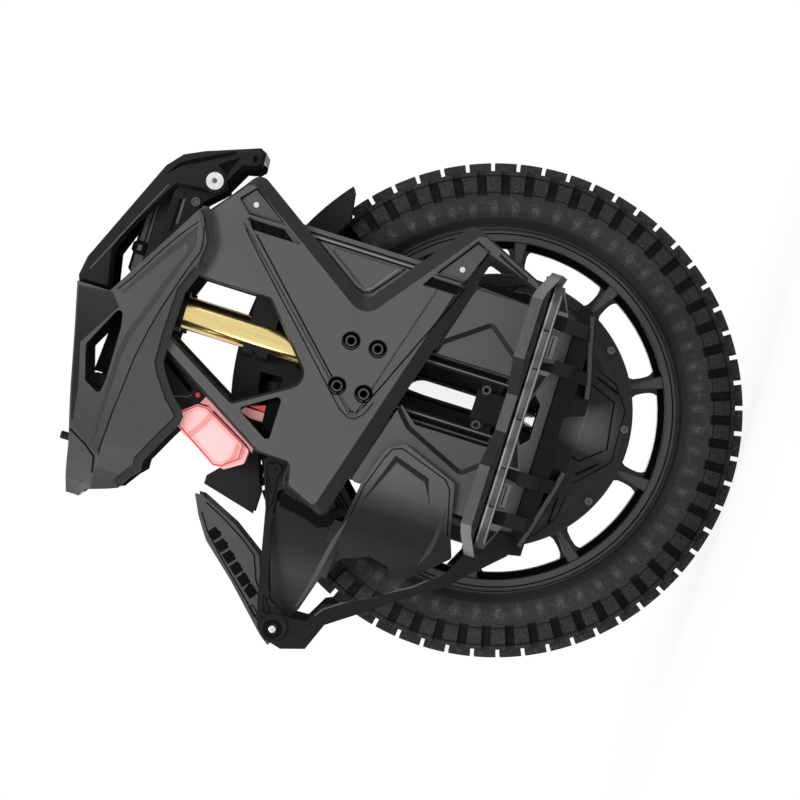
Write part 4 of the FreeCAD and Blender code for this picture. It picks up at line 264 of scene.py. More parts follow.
def coated(name, colour, rough, grain=900.0, specular=0.35):
    """Powder coat or anodising on metal: even colour with an orange-peel grain."""
    mat, tree, shader = new_material(name)
    cloud = noise(tree, 14.0)
    shade = tuple(c * 0.8 for c in colour)
    tree.links.new(mix(tree, span(tree, cloud, 0.35, 0.65), shade, colour), shader.inputs["Base Color"])
    tree.links.new(span(tree, cloud, 0.3, 0.7, rough - 0.06, rough + 0.06), shader.inputs["Roughness"])
    shader.inputs["Specular IOR Level"].default_value = specular
    bump(tree, shader, noise(tree, grain, 2.0), COAT_GRAIN, 0.25)
    return mat


def coat_over(tree, shader, colour, cloud, rough, specular):
    """Coat over a pattern of colour: cloudy tone and roughness, and a fine grain."""
    shade = ramp(tree, cloud, ((0.3, 0.85), (0.7, 1.05)))
    tree.links.new(mix(tree, 1.0, colour, shade, "MULTIPLY"), shader.inputs["Base Color"])
    tree.links.new(span(tree, cloud, 0.3, 0.7, *rough), shader.inputs["Roughness"])
    shader.inputs["Specular IOR Level"].default_value = specular
    bump(tree, shader, noise(tree, 900.0, 2.0), COAT_GRAIN, 0.25)


def pedal_coat(name):
    """Anodised pedal with painted light and shade: its facets go from grey to black to pale as they turn
    along the side.
    """
    mat, tree, shader = new_material(name)
    along = sum_of(tree, "ABSOLUTE", part(tree, "Normal", "X"))
    upright = sum_of(tree, "ABSOLUTE", part(tree, "Normal", "Z"))
    out = sum_of(tree, "ABSOLUTE", part(tree, "Object", "Y"))
    # Painted highlight on the pale facets and painted shade on the dark ones, by the way each faces.
    painted_facet_shading = ((0.03, 0.075), (0.1, 0.012), (0.35, 0.016), (0.5, 0.15), (0.8, 0.14), (1.0, 0.02))
    side = mix(tree, span(tree, out, 0.212, 0.218), (0.008, 0.008, 0.0085), ramp(tree, along, painted_facet_shading))
    colour = mix(tree, span(tree, upright, 0.4, 0.7), side, (0.012, 0.012, 0.0125))
    coat_over(tree, shader, colour, noise(tree, 40.0), (0.38, 0.5), 0.15)
    return mat


def polar(tree, count):
    """Distance from the axle, and the turn about it in parts of one count."""
    x = part(tree, "Object", "X")
    z = sum_of(tree, "SUBTRACT", part(tree, "Object", "Z"), AXLE_Z)
    squares = sum_of(tree, "ADD", sum_of(tree, "POWER", x, 2.0), sum_of(tree, "POWER", z, 2.0))
    turn = sum_of(tree, "MULTIPLY", sum_of(tree, "ARCTAN2", z, x), count / math.tau)
    return sum_of(tree, "SQRT", squares), turn


def motor_coat(name):
    """Painted motor cover with a painted highlight, a soft pale sheen, in each of its fields."""
    mat, tree, shader = new_material(name)
    reach, turn = polar(tree, HUB_FIELDS)
    shift = sum_of(tree, "ADD", turn, HUB_FIELDS * PAINTED_SHEEN_ANGLE / 360.0)
    wave = sum_of(tree, "COSINE", sum_of(tree, "MULTIPLY", shift, math.tau))
    # Painted highlight: a pale sheen laid into the colour of each field.
    sheen = sum_of(tree, "MULTIPLY", between(tree, reach, 0.074, 0.108, 0.022), span(tree, wave, 0.2, 1.0))
    colour = mix(tree, sheen, (0.016, 0.016, 0.0165), (0.19, 0.19, 0.192))
    coat_over(tree, shader, colour, noise(tree, 14.0), (0.36, 0.46), 0.2)
    return mat


def rubber(name):
    """Tyre rubber: speckled knob faces, painted shade in the gaps between them and along their edges, and
    dusty spots on the wall.
    """
    mat, tree, shader = new_material(name)
    reach, turn = polar(tree, KNOBS)
    part_turn = sum_of(tree, "FRACT", sum_of(tree, "ADD", turn, float(KNOBS)))
    aside = sum_of(tree, "ABSOLUTE", sum_of(tree, "SUBTRACT", part_turn, 0.5))
    wave = sum_of(tree, "COSINE", sum_of(tree, "MULTIPLY", turn, math.tau))
    fine = noise(tree, 520.0, 5.0, 0.75)
    patches = noise(tree, 70.0, 6.0, 0.65)
    specks = sum_of(tree, "MULTIPLY", span(tree, fine, 0.46, 0.7), span(tree, patches, 0.38, 0.62, 0.25))
    dust = span(tree, patches, 0.35, 0.65)
    wall = sum_of(tree, "MULTIPLY", between(tree, reach, 0.196, 0.217, 0.008), dust)
    colour = mix(tree, sum_of(tree, "MULTIPLY", wall, specks), (0.026, 0.026, 0.026), (0.095, 0.095, 0.093))
    spots = sum_of(tree, "MULTIPLY", between(tree, reach, 0.199, 0.207, 0.005), span(tree, wave, 0.1, 1.0))
    spots = sum_of(tree, "MULTIPLY", spots, span(tree, fine, 0.36, 0.64))
    colour = mix(tree, spots, colour, (0.11, 0.11, 0.108))
    face = mix(tree, specks, (0.016, 0.016, 0.016), (0.075, 0.075, 0.073))
    colour = mix(tree, between(tree, reach, 0.2185, 0.26, 0.0008), colour, face)
    # Painted shade: near black in the gaps between the knobs.
    flank = between(tree, reach, 0.216, 0.2365, 0.001)
    gap = sum_of(tree, "MULTIPLY", flank, span(tree, aside, 0.17, 0.185, 1.0, 0.0))
    colour = mix(tree, gap, colour, (0.004, 0.004, 0.004))
    # Painted shade: black lines round the edges of each knob.
    inner = between(tree, reach, 0.2182, 0.2194, 0.0003)
    outer = between(tree, reach, 0.2352, 0.2372, 0.0004)
    sides = sum_of(tree, "MULTIPLY", flank, between(tree, aside, 0.175, 0.205, 0.008))
    lines = sum_of(tree, "MAXIMUM", sum_of(tree, "MAXIMUM", inner, outer), sides)
    colour = mix(tree, lines, colour, (0.003, 0.003, 0.003))
    tree.links.new(colour, shader.inputs["Base Color"])
    tree.links.new(span(tree, patches, 0.35, 0.7, 0.62, 0.9), shader.inputs["Roughness"])
    shader.inputs["Specular IOR Level"].default_value = 0.12
    bump(tree, shader, fine, RUBBER_GRAIN, 0.5)
    return mat


def lens(name, colour, rim, alpha, glow=0.0):
    """Clear moulded lens, deeper in colour at its turned edges."""
    mat, tree, shader = new_material(name)
    colour = mix(tree, facing(tree, 0.35, 0.9), rim, colour)
    cloud = noise(tree, 30.0)
    tree.links.new(colour, shader.inputs["Base Color"])
    tree.links.new(span(tree, cloud, 0.3, 0.7, 0.06, 0.16), shader.inputs["Roughness"])
    shader.inputs["Alpha"].default_value = alpha
    shader.inputs["IOR"].default_value = 1.46
    if glow:
        tree.links.new(colour, shader.inputs["Emission Color"])
        shader.inputs["Emission Strength"].default_value = glow
    return mat


PANEL = plastic("panel_black", 0.08, 0.022, 0.5, specular=0.12, wear_and_highlight=0.35, turn=(0.9, 0.975))
HEAD = plastic("head_black", 0.055, 0.012, 0.48, specular=0.15, wear_and_highlight=0.25, turn=(0.45, 0.8))
VISOR = plastic("visor_black", 0.01, 0.005, 0.42, specular=0.12, wear_and_highlight=0.25, turn=(0.6, 0.95))
# Painted shade and highlight along the fender's length: dark in its middle, lighter to the rear and palest at
# the front.
FENDER_PAINTED_SHADING = ((0.0, 0.12), (0.22, 0.4), (0.36, 0.14), (0.55, 0.06), (0.63, 0.1), (0.7, 0.32), (0.77, 0.72),
               (0.85, 0.93), (1.0, 1.0))
FENDER = plastic("fender_black", 0.1, 0.008, 0.42, specular=0.15, wear_and_highlight=0.2, turn=(0.55, 0.9),
                 painted_shading=("X", -0.26, -0.06, FENDER_PAINTED_SHADING))
CASE = plastic("case_grey", 0.085, 0.008, 0.5, specular=0.12, wear_and_highlight=0.25, turn=(0.85, 0.97))
DARK = plastic("dark_plastic", 0.014, 0.005, 0.45, 1100.0, 0.1, wear_and_highlight=0.2)
FLAP = plastic("flap_black", 0.07, 0.008, 0.45, 1100.0, 0.12, wear_and_highlight=0.25)
BLACK = plastic("line_black", 0.003, 0.0025, 0.55, 900.0, 0.04)
BAND = plastic("band_black", 0.024, 0.016, 0.48, 1200.0, 0.12)
STRIPE = plastic("stripe_black", 0.03, 0.028, 0.5, 1200.0, 0.18)
PALE = plastic("pale_edge", 0.2, 0.16, 0.42, 1200.0)
TRIM = plastic("trim_grey", 0.075, 0.065, 0.46, 1200.0, 0.15)
TAIL = plastic("gloss_black", 0.03, 0.02, 0.18, 500.0, 0.45)
BLACK_METAL = coated("black_metal", (0.008, 0.008, 0.0085), 0.42, specular=0.12)
ARM = coated("arm_black", (0.013, 0.013, 0.0133), 0.42, specular=0.08)
STRUT = coated("strut_black", (0.008, 0.008, 0.0082), 0.42, specular=0.12)
WHEEL = plastic("wheel_black", 0.06, 0.007, 0.36, 900.0, 0.2, wear_and_highlight=0.3, turn=(0.5, 0.95))
MOTOR = motor_coat("motor_black")
SCREW = coated("screw_grey", (0.11, 0.11, 0.112), 0.35)
PEDAL = pedal_coat("pedal_black")
RUBBER = rubber("tyre_rubber")
GOLD = metal("gold_tube", (0.82, 0.65, 0.28), 0.2, (1, 1, 0.05))
CHROME = metal("chrome_tube", (0.9, 0.9, 0.91), 0.08, (1, 1, 0.05), 0.04)
STEEL = metal("steel", (0.62, 0.62, 0.64), 0.3)
BRIGHT = metal("bright_bolt", (0.7, 0.7, 0.71), 0.3)
SILVER = metal("pedal_silver", (0.16, 0.16, 0.163), 0.45, (0.05, 1, 1))
SHINE = metal("silver_edge", (0.5, 0.5, 0.505), 0.35, (0.05, 1, 1))
BRASS = metal("valve_brass", (0.72, 0.55, 0.25), 0.32)
COPPER = metal("copper", (0.75, 0.38, 0.18), 0.4)
IRON = metal("motor_metal", (0.3, 0.3, 0.31), 0.5)
CELL = plastic("cell_blue", (0.05, 0.16, 0.4), (0.04, 0.13, 0.33), 0.35, 800.0)
BOARD = plastic("board_green", (0.02, 0.2, 0.06), (0.02, 0.16, 0.05), 0.4, 900.0)
LENS_RED = lens("lens_red", (1.0, 0.57, 0.57), (0.75, 0.1, 0.1), 0.6, 0.2)
RED = lens("red_rim", (0.62, 0.06, 0.06), (0.5, 0.04, 0.04), 0.9, 0.12)
PINK = lens("pink_band", (0.72, 0.32, 0.32), (0.6, 0.1, 0.1), 0.75, 0.1)
LENS_CLEAR = lens("lens_clear", (0.85, 0.87, 0.9), (0.6, 0.62, 0.65), 0.45)

FINISHES = {
    PANEL: "left_side_plate right_side_plate",
    HEAD: "left_head_panel right_head_panel",
    VISOR: "front_visor head_roof",
    FENDER: "left_rear_fender right_rear_fender",
    CASE: "left_front_case right_front_case left_lower_cover right_lower_cover rear_cases",
    FLAP: "rear_mudguard",
    DARK: "tyre_hugger hugger_stays controller_box tail_light_housings charge_port power_button",
    TAIL: "tail_cap",
    BLACK_METAL: "chassis fork_clamps axle_clamps fork_seals guide_rails side_plate_bolts clamp_bolts "
                 "left_pedal_hanger right_pedal_hanger hinge_pins arm_screws "
                 "left_pedal_studs right_pedal_studs",
    ARM: "mudguard_upper_arms mudguard_tube",
    STRUT: "mudguard_lower_arms",
    WHEEL: "rim",
    MOTOR: "motor_covers",
    SCREW: "motor_cover_screws",
    PEDAL: "left_pedal right_pedal",
    RUBBER: "tyre",
    GOLD: "fork_tubes",
    CHROME: "fork_sliders",
    STEEL: "axle wheel_bearings",
    BRIGHT: "visor_bolts ear_screws",
    SILVER: "left_pedal_bracket right_pedal_bracket",
    BRASS: "valve_stem",
    COPPER: "motor_stator",
    IRON: "motor_rotor",
    CELL: "battery_packs",
    BOARD: "controller_board",
    LENS_RED: "tail_light_lenses",
    LENS_CLEAR: "headlight_lens",
}
SLOTS = {mat: "panel_black" for mat in (HEAD, VISOR, FENDER, DARK, FLAP, BLACK, BAND, STRIPE, PALE, TRIM)}
SLOTS |= {
    ARM: "black_metal", STRUT: "black_metal", MOTOR: "wheel_black", SCREW: "steel", SHINE: "pedal_silver",
    RED: "lens_red", PINK: "lens_red",
}


def finish_nodes():
    """Gives every CAD node its finish."""
    for mat, names in FINISHES.items():
        for name in names.split():
            slots = NODES[name].data.materials
            slots.clear()
            slots.append(mat)
    finished = {n for names in FINISHES.values() for n in names.split()}
    assert finished == set(NODES), sorted(set(NODES) ^ finished)


# Trim and small pieces, drawn in the side view in millimetres from the axle and laid on what is seen there


class Surface:
    """Right half of the surface of a CAD node or a piece, as seen from the right side."""

    def __init__(self, source):
        mesh = NODES[source].data if isinstance(source, str) else source.data
        corners = [v.co.copy() for v in mesh.vertices]
        faces = [list(p.vertices) for p in mesh.polygons if p.center.y < 0]
        self.tree = BVHTree.FromPolygons(corners, faces)

    def at(self, point):
        """Place and outward normal that a side-view point meets, or the nearest ones."""
        way = (Vector((point[0] * MM, 0.0, AXLE_Z + point[1] * MM)) - EYE).normalized()
        hit, normal, _, _ = self.tree.ray_cast(EYE, way)
        if hit is None:
            to_plate = (VIEW_DISTANCE - PLATE_Y) * MM
            hit, normal, _, _ = self.tree.find_nearest(EYE + way * (to_plate / way.y))
        if normal.y > 0:
            normal = -normal
        return hit, normal


def build(name, verts, faces, mat, body="frame", both=True):
    """Closed mesh piece, with its mirror twin on the left; pedal pieces are two objects."""
    halves = [("", verts, body)]
    twin = [Vector((v[0], -v[1], v[2])) for v in verts]
    if body == "pedal":
        halves = [("_right", verts, "right_pedal_body"), ("_left", twin, "left_pedal_body")]
    elif both:
        count = len(verts)
        faces = list(faces) + [[i + count for i in reversed(f)] for f in faces]
        halves = [("", list(verts) + twin, body)]
    for suffix, corners, rider in halves:
        mesh = bpy.data.meshes.new(name + suffix)
        mesh.from_pydata([tuple(v) for v in corners], [], faces)
        work = bmesh.new()
        work.from_mesh(mesh)
        bmesh.ops.recalc_face_normals(work, faces=work.faces)
        work.to_mesh(mesh)
        work.free()
        mesh.materials.append(mat)
        obj = bpy.data.objects.new(name + suffix, mesh)
        SCENE.collection.objects.link(obj)
        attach(obj, rider)
    return obj


def walls(first, second, count):
    """Faces between two closed loops of as many corners, each given by its first corner."""
    after = [(i + 1) % count for i in range(count)]
    return [[first + i, first + j, second + j, second + i] for i, j in enumerate(after)]


def grid_solid(rows, lift, sink):
    """Closed thin solid over a grid of (place, normal)."""
    high = len(rows)
    wide = len(rows[0])
    top = [p + n * lift * MM for row in rows for p, n in row]
    low = [p - n * sink * MM for row in rows for p, n in row]
    verts = top + low
    base = len(top)
    faces = []
    for i in range(high - 1):
        for j in range(wide - 1):
            a = i * wide + j
            quad = [a, a + 1, a + wide + 1, a + wide]
            faces.append(quad)
            faces.append([base + k for k in reversed(quad)])
    rim = list(range(wide)) + [i * wide + wide - 1 for i in range(1, high)]
    rim += [(high - 1) * wide + j for j in range(wide - 2, -1, -1)]
    rim += [i * wide for i in range(high - 2, 0, -1)]
    for k, a in enumerate(rim):
        b = rim[(k + 1) % len(rim)]
        faces.append([b, a, base + a, base + b])
    return verts, faces


def band(name, surface, first, second, mat, lift=LIFT, step=5.0, across=1, body="frame"):
    """Thin band laid on a surface between two lines of the side view."""
    rows = []
    for i in range(len(first) - 1):
        (a, b), (c, d) = (first[i], first[i + 1]), (second[i], second[i + 1])
        parts = max(1, math.ceil(max(math.dist(a, b), math.dist(c, d)) / step))
        last = parts + 1 if i == len(first) - 2 else parts
        for k in range(last):
            t = k / parts
            p = [a[q] + (b[q] - a[q]) * t for q in (0, 1)]
            r = [c[q] + (d[q] - c[q]) * t for q in (0, 1)]
            row = []
            for j in range(across + 1):
                w = j / across
                row.append(surface.at([p[q] + (r[q] - p[q]) * w for q in (0, 1)]))
            rows.append(row)
    build(name, *grid_solid(rows, lift, SINK), mat, body)


def offset(path, shift, closed=False):
    """Line of the side view moved to its left by a distance, with mitred corners."""
    count = len(path)
    moved = []
    for i, (x, z) in enumerate(path):
        before = path[i - 1] if i or closed else None
        after = path[(i + 1) % count] if i < count - 1 or closed else None
        ways = []
        for a, b in ((before, (x, z)), ((x, z), after)):
            if a and b:
                size = math.dist(a, b)
                ways.append(((b[0] - a[0]) / size, (b[1] - a[1]) / size))
        dx = sum(w[0] for w in ways) / len(ways)
        dz = sum(w[1] for w in ways) / len(ways)
        size = max(0.5, math.hypot(dx, dz))
        far = shift / size / size
        moved.append((x - dz * far, z + dx * far))
    return moved


def line(name, surface, path, width, mat, shift=0.0, closed=False, **more):
    """Band of one width along a line of the side view."""
    first = offset(path, shift + width / 2, closed)
    second = offset(path, shift - width / 2, closed)
    if closed:
        first = first + first[:1]
        second = second + second[:1]
    band(name, surface, first, second, mat, **more)


def fill(name, surface, outline, mat, lift=LIFT, step=6.0, body="frame"):
    """Thin plate laid on a nearly flat surface inside an outline of the side view."""
    points = []
    for i, a in enumerate(outline):
        b = outline[(i + 1) % len(outline)]
        parts = max(1, math.ceil(math.dist(a, b) / step))
        points += [(a[0] + (b[0] - a[0]) * k / parts, a[1] + (b[1] - a[1]) * k / parts) for k in range(parts)]
    met = [surface.at(p) for p in points]
    verts = [p + n * lift * MM for p, n in met] + [p - n * SINK * MM for p, n in met]
    count = len(points)
    flat = tessellate_polygon([[Vector((x, z, 0)) for x, z in points]])
    faces = [list(t) for t in flat] + [[i + count for i in reversed(t)] for t in flat]
    build(name, verts, faces + walls(0, count, count), mat, body)


def real(point, y):
    """Side-view point taken to its real place at one distance from the middle plane, in metres."""
    share = (VIEW_DISTANCE - y) / VIEW_DISTANCE
    x = VIEW_X + (point[0] - VIEW_X) * share
    z = VIEW_Z + (point[1] - VIEW_Z) * share
    return Vector((x * MM, -y * MM, AXLE_Z + z * MM))


def block(name, outline, y_out, y_in, mat, chamfer=CHAMFER, body="frame"):
    """Plate with chamfered outer edges, set between two distances from the middle plane."""
    turn = sum(a[0] * b[1] - b[0] * a[1] for a, b in zip(outline, outline[1:] + outline[:1]))
    inner = offset(outline, chamfer if turn > 0 else -chamfer, True)
    verts = []
    for points, y in ((inner, y_out), (outline, y_out - chamfer), (outline, y_in)):
        for corner in points:
            spot = real(corner, y_out)
            spot.y = -y * MM
            verts.append(spot)
    count = len(outline)
    flat = tessellate_polygon([[Vector((x, z, 0)) for x, z in inner]])
    faces = [list(t) for t in flat] + [[i + 2 * count for i in reversed(t)] for t in flat]
    for row in (0, count):
        faces += walls(row, row + count, count)
    return build(name, verts, faces, mat, body)


def turned(name, surface, points, profile, mat, sides=28):
    """Round pieces on a side-facing surface, turned from (radius, height) pairs in millimetres."""
    verts = []
    faces = []
    for point in points:
        hit, _ = surface.at(point)
        base = len(verts)
        for radius, height in profile:
            for k in range(sides):
                angle = 2 * math.pi * k / sides
                verts.append(hit + Vector((math.cos(angle) * radius, -height, math.sin(angle) * radius)) * MM)
        last = base + (len(profile) - 1) * sides
        for row in range(base, last, sides):
            faces += walls(row, row + sides, sides)
        faces.append([base + k for k in range(sides)])
        faces.append([last + k for k in range(sides)])
    build(name, verts, faces, mat)


def ring(inside, outside, height, sink=0.8):
    """Profile of a flat ring with a hollow middle that closes below the surface."""
    return ((inside, -sink), (inside, height), (outside, height), (outside, -sink))


def trapezium(x, top, half_top, low, half_low):
    """Symmetrical outline of four corners about one x."""
    return [(x - half_top, top), (x + half_top, top), (x + half_low, low), (x - half_low, low)]


def dress_head():
    """Stripes, creases drawn as painted shade, lower band and upper sides of the head, and the seam of its
    tail cap.
    """
    head = Surface("right_head_panel")
    lower = [(-192, 345), (-178, 336.5), (-170, 330), (-160, 330.5), (-130, 316.5), (-112, 306.5),
             (-103, 305.5), (-97, 309.5), (-85, 322), (-65, 337), (-55, 342), (-25, 343), (20, 342),
             (40, 335), (55, 329), (72, 327.5), (80, 327.5), (107, 340), (113, 345)]
    line("head_lower_bands", head, lower, 8.6, BAND, 4.6, step=4.0)
    low = [(-158, 387), (-120, 389.5), (-60, 391), (-40, 388), (-30, 385.5), (0, 375), (30, 365),
           (62, 352.5), (71, 356.5)]
    under = [(-158, 385.8), (-120, 386.4), (-60, 385.6), (-40, 382.4), (-30, 379.5), (0, 369), (30, 359.5),
             (70, 346.5), (91, 351)]
    band("head_stripes_low", head, low, under, STRIPE, FINE)
    high = [(2, 404), (30, 388.5), (50, 377), (70, 364.5), (91, 351)]
    below = [(-1, 402.5), (28, 385), (48, 372.5), (60, 364), (71, 356.5)]
    band("head_stripes_high", head, high, below, STRIPE, FINE)
    # Painted shade: a thin black line along the crease of the head.
    crease = [(-172, 378), (-120, 377.3), (-60, 373), (-30, 368), (0, 361), (30, 352.5), (50, 346),
              (65, 340.5), (72, 340), (82, 342), (106, 347)]
    line("head_crease_shades", head, crease, 1.1, BLACK, lift=THIN)
    front = [(4, 411), (20, 400.5), (50, 384), (75, 369), (100, 351.5)]
    line("head_edge_lines", head, front, 1.0, BLACK, -2.6, lift=THIN)
    top = [(-139, 412), (-110, 420.5), (-61, 432.8), (-20, 443), (-5.5, 446.3)]
    bottom = [(-139, 410.5), (-104, 416.5), (-61, 428), (-14, 402.5), (-1.5, 413.5)]
    band("head_roof_sides", head, top, bottom, VISOR, across=4, step=4.0)
    seam = [(-149, 410), (-160, 392), (-170, 380), (-186, 376)]
    line("tail_cap_seams", Surface("tail_cap"), seam, 1.6, BLACK, lift=THIN)


def dress_visor():
    """Pale lip, pocket floors in black as painted shade, and bolt collars, rings and sockets of the front
    arch.
    """
    visor = Surface("front_visor")
    line("visor_lips", visor, [(14, 441), (60, 419.5), (95, 402.5), (121, 389.5)], 1.2, CASE)
    # Painted shade: black floors in the pockets of the visor.
    pockets = (("long", [(131.5, 394.9), (146.4, 385.4), (154.6, 372.2), (175.7, 332.6), (171.8, 331.2),
                         (151.3, 366.4), (143.2, 381.7)]),
               ("corner", [(156.3, 347.2), (170.9, 326.7), (148.1, 334.8)]),
               ("tip", [(168.6, 312.9), (176.4, 314.7), (176.7, 309.4), (171.2, 308)]))
    for name, outline in pockets:
        fill("visor_%s_floors" % name, visor, offset(outline, -0.9, True), BLACK, THIN)
    bolts = Surface("visor_bolts")
    spots = [(139.5, 345.5)]
    turned("visor_bolt_collars", bolts, spots, ((9.6, -3.6), (9.6, -1.6), (12.2, -2.0), (12.2, -3.6)), BLACK)
    turned("visor_bolt_rings", bolts, spots, ring(6.0, 6.8, 0.3), SCREW)
    turned("visor_bolt_sockets", bolts, spots, ((2.8, -0.4), (2.8, 0.3), (0.3, 0.3)), SCREW, 6)


def dress_plates():
    """Grooves, wedges, frames, brace faces and bolt rings of the side plates."""
    plate = Surface("right_side_plate")
    outer = [(103, 302), (80, 280), (50, 250), (20, 219.5), (-10, 189.5), (-33, 166.5), (-47, 152),
             (-53, 141), (-52, 134), (-45, 127), (-30, 120.5)]
    line("plate_outer_grooves", plate, outer, 1.1, BLACK, lift=FINE)
    inner = [(114, 303), (100, 289), (80, 268.5), (60, 248.5), (20, 208), (-18, 169), (-38, 150), (-46, 141),
             (-45, 134.5), (-38, 129.5), (-24, 123.5), (0, 113), (30, 100), (60, 87), (90, 74), (112, 65.5)]
    line("plate_inner_grooves", plate, inner, 1.5, BLACK, lift=FINE)
    fill("plate_upper_wedges", plate, [(104, 292.5), (114, 302), (114, 263), (104, 250)], BLACK, THIN)
    fill("plate_lower_wedges", plate, [(103, 107.5), (112.5, 102), (112.5, 67.5), (103, 71)], BLACK, THIN)
    upper = [(119, 303.5), (130, 316), (146, 303), (119, 263.5)]
    line("plate_upper_frames", plate, upper, 1.6, BLACK, closed=True, lift=THIN)
    lower = [(117, 98), (161, 66), (156, 52), (117, 67)]
    line("plate_lower_frames", plate, lower, 1.6, BLACK, closed=True, lift=THIN)
    line("plate_brace_faces", plate, [(158.5, 40), (137, -8)], 8.0, VISOR)
    bolts = Surface("side_plate_bolts")
    spots = [(x, z) for x in (-24.5, 24.5) for z in (162, 133)]
    edge = ((5.8, 1.6), (5.8, 2.4), (5.2, 2.8), (4.2, 2.8), (3.6, 2.3), (3.6, 1.6))
    turned("plate_bolt_rings", bolts, spots, edge, FLAP)
    turned("plate_bolt_seats", bolts, spots, ((7.9, 2.2), (7.9, 3.3), (9.3, 3.3), (9.3, 2.2)), BLACK)


def dress_windows():
    """Lid, rail, latches and clip seen in the two gaps of the head."""
    block("box_rails", [(-84, 389), (18, 389), (12, 394), (-20, 400), (-84, 404)], 57.5, 49, BLACK)
    latch = [(-101, 390), (-85, 390), (-85, 400), (-88, 407), (-95, 408), (-101, 402)]
    block("rear_latches", latch, 60, 50, DARK)
    block("box_lids", [(22, 390), (108, 390), (108, 398), (105, 400), (26, 400), (22, 398)], 57.8, 45, FLAP)
    block("box_edges", [(24, 399.6), (107, 399.6), (105, 402.4), (27, 402.4)], 58.4, 44, BLACK)
    ledge = [(56, 393.4), (108, 393.4), (108, 394.8), (56, 394.8)]
    block("box_ledges", ledge, 58.4, 57, BLACK, SMALL_CHAMFER)
    block("front_latches", [(43, 391), (57, 391), (57, 401), (54, 405), (46, 405), (43, 401)], 60, 57, BLACK)
    block("latch_faces", [(46.5, 394.5), (53.5, 394.5), (53.5, 400), (46.5, 400)], 60.8, 59, CASE)
    chassis = Surface("chassis")
    line("bracket_gaps", chassis, [(76, 372.6), (112, 372.6)], 3.0, BLACK)
    line("bracket_ledges", chassis, [(85, 369), (112, 369)], 2.4, CASE)
    clip = [(111, 380), (119, 380.5), (117.5, 377), (117.5, 371.5), (111, 371.5)]
    fill("bracket_clips", chassis, clip, DARK, 1.2)
    head = ((5.4, -0.4), (5.4, 1.2), (4.6, 1.7), (3.0, 1.7), (2.6, 0.9), (0.4, 0.9))
    turned("bracket_bolts", chassis, [(112.5, 357)], head, CASE, 20)


def dress_notch():
    """Moulded lines of the front case inside the side notch."""
    case = Surface("right_front_case")
    line("notch_lines", case, [(113, 226), (79, 175), (75.5, 164), (79.5, 156), (113, 130)], 1.5, BLACK)
    edge = [(113, 221), (82, 174), (79, 164), (82.5, 158), (113, 135)]
    line("notch_edges", case, edge, 1.1, PALE, lift=0.5)
    for name, x, width, mat in (("lips", 116.6, 1.5, PALE), ("lip_gaps", 114.4, 1.6, BLACK),
                                ("strip_gaps", 119.4, 1.8, BLACK)):
        line("notch_" + name, case, [(x, 119), (x, 238)], width, mat, step=WHOLE)


def dress_rear():
    """Tail lens covers with their lines, a painted glow of the tail lamps' red light on the wall behind them,
    and what shows beside the rear bracket.
    """
    rim = [(-114, 307), (-98, 308.5), (-86, 294), (-86, 283), (-111.5, 235), (-128, 235), (-141.5, 251),
           (-142.5, 260)]
    lamp = Surface(block("tail_lens_covers", rim, 97.4, 93.4, LENS_RED))
    line("tail_lens_rims", lamp, rim, 1.7, RED, -1.6, closed=True)
    line("tail_lens_lines", lamp, rim, 0.9, PINK, -4.6, closed=True, lift=THIN)
    high = [(-119, 296), (-104, 285.5), (-89.5, 279.5)]
    low = [(-121.5, 290), (-104.5, 279), (-92, 273.5)]
    band("tail_lens_bands", lamp, high, low, PINK, THIN)
    high = [(-138.5, 251), (-128.5, 245), (-113, 243.5)]
    low = [(-136, 247), (-127, 239.5), (-115, 238.5)]
    band("tail_lens_arcs", lamp, high, low, PINK, THIN)
    # Painted light: a glowing pink sheet where the tail lamps' red light falls on the wall behind.
    behind = [(-84.5, 292), (-76, 288), (-91, 260), (-110, 225), (-118, 225), (-111, 233), (-84.5, 282)]
    block("tail_lamp_glows", behind, 97.2, 94, PINK)
    block("window_bars", [(-104, 204), (-44, 204), (-50, 220), (-62, 226), (-98, 224)], 95.8, 90, BLACK)
    block("window_lamps", [(-84, 223), (-74, 223), (-74, 246), (-80, 251), (-84, 238)], 95.4, 91, PINK)
    block("window_reds", [(-73.6, 223), (-65, 223), (-72, 243)], 95.2, 91, RED)
    chassis = Surface("chassis")
    turned("side_lamps", chassis, [(-77, 296)], ((2.6, -0.5), (2.6, 0.8), (1.8, 1.5), (0.4, 1.7)), RED, 20)
    block("bracket_backs", [(-78, 298), (-68, 298), (-42, 338), (-48, 346), (-78, 310)], 80.3, 77, BLACK)
    line("bracket_grooves", chassis, [(-86, 322), (-82, 306), (-78.5, 302.5)], 1.6, CASE)


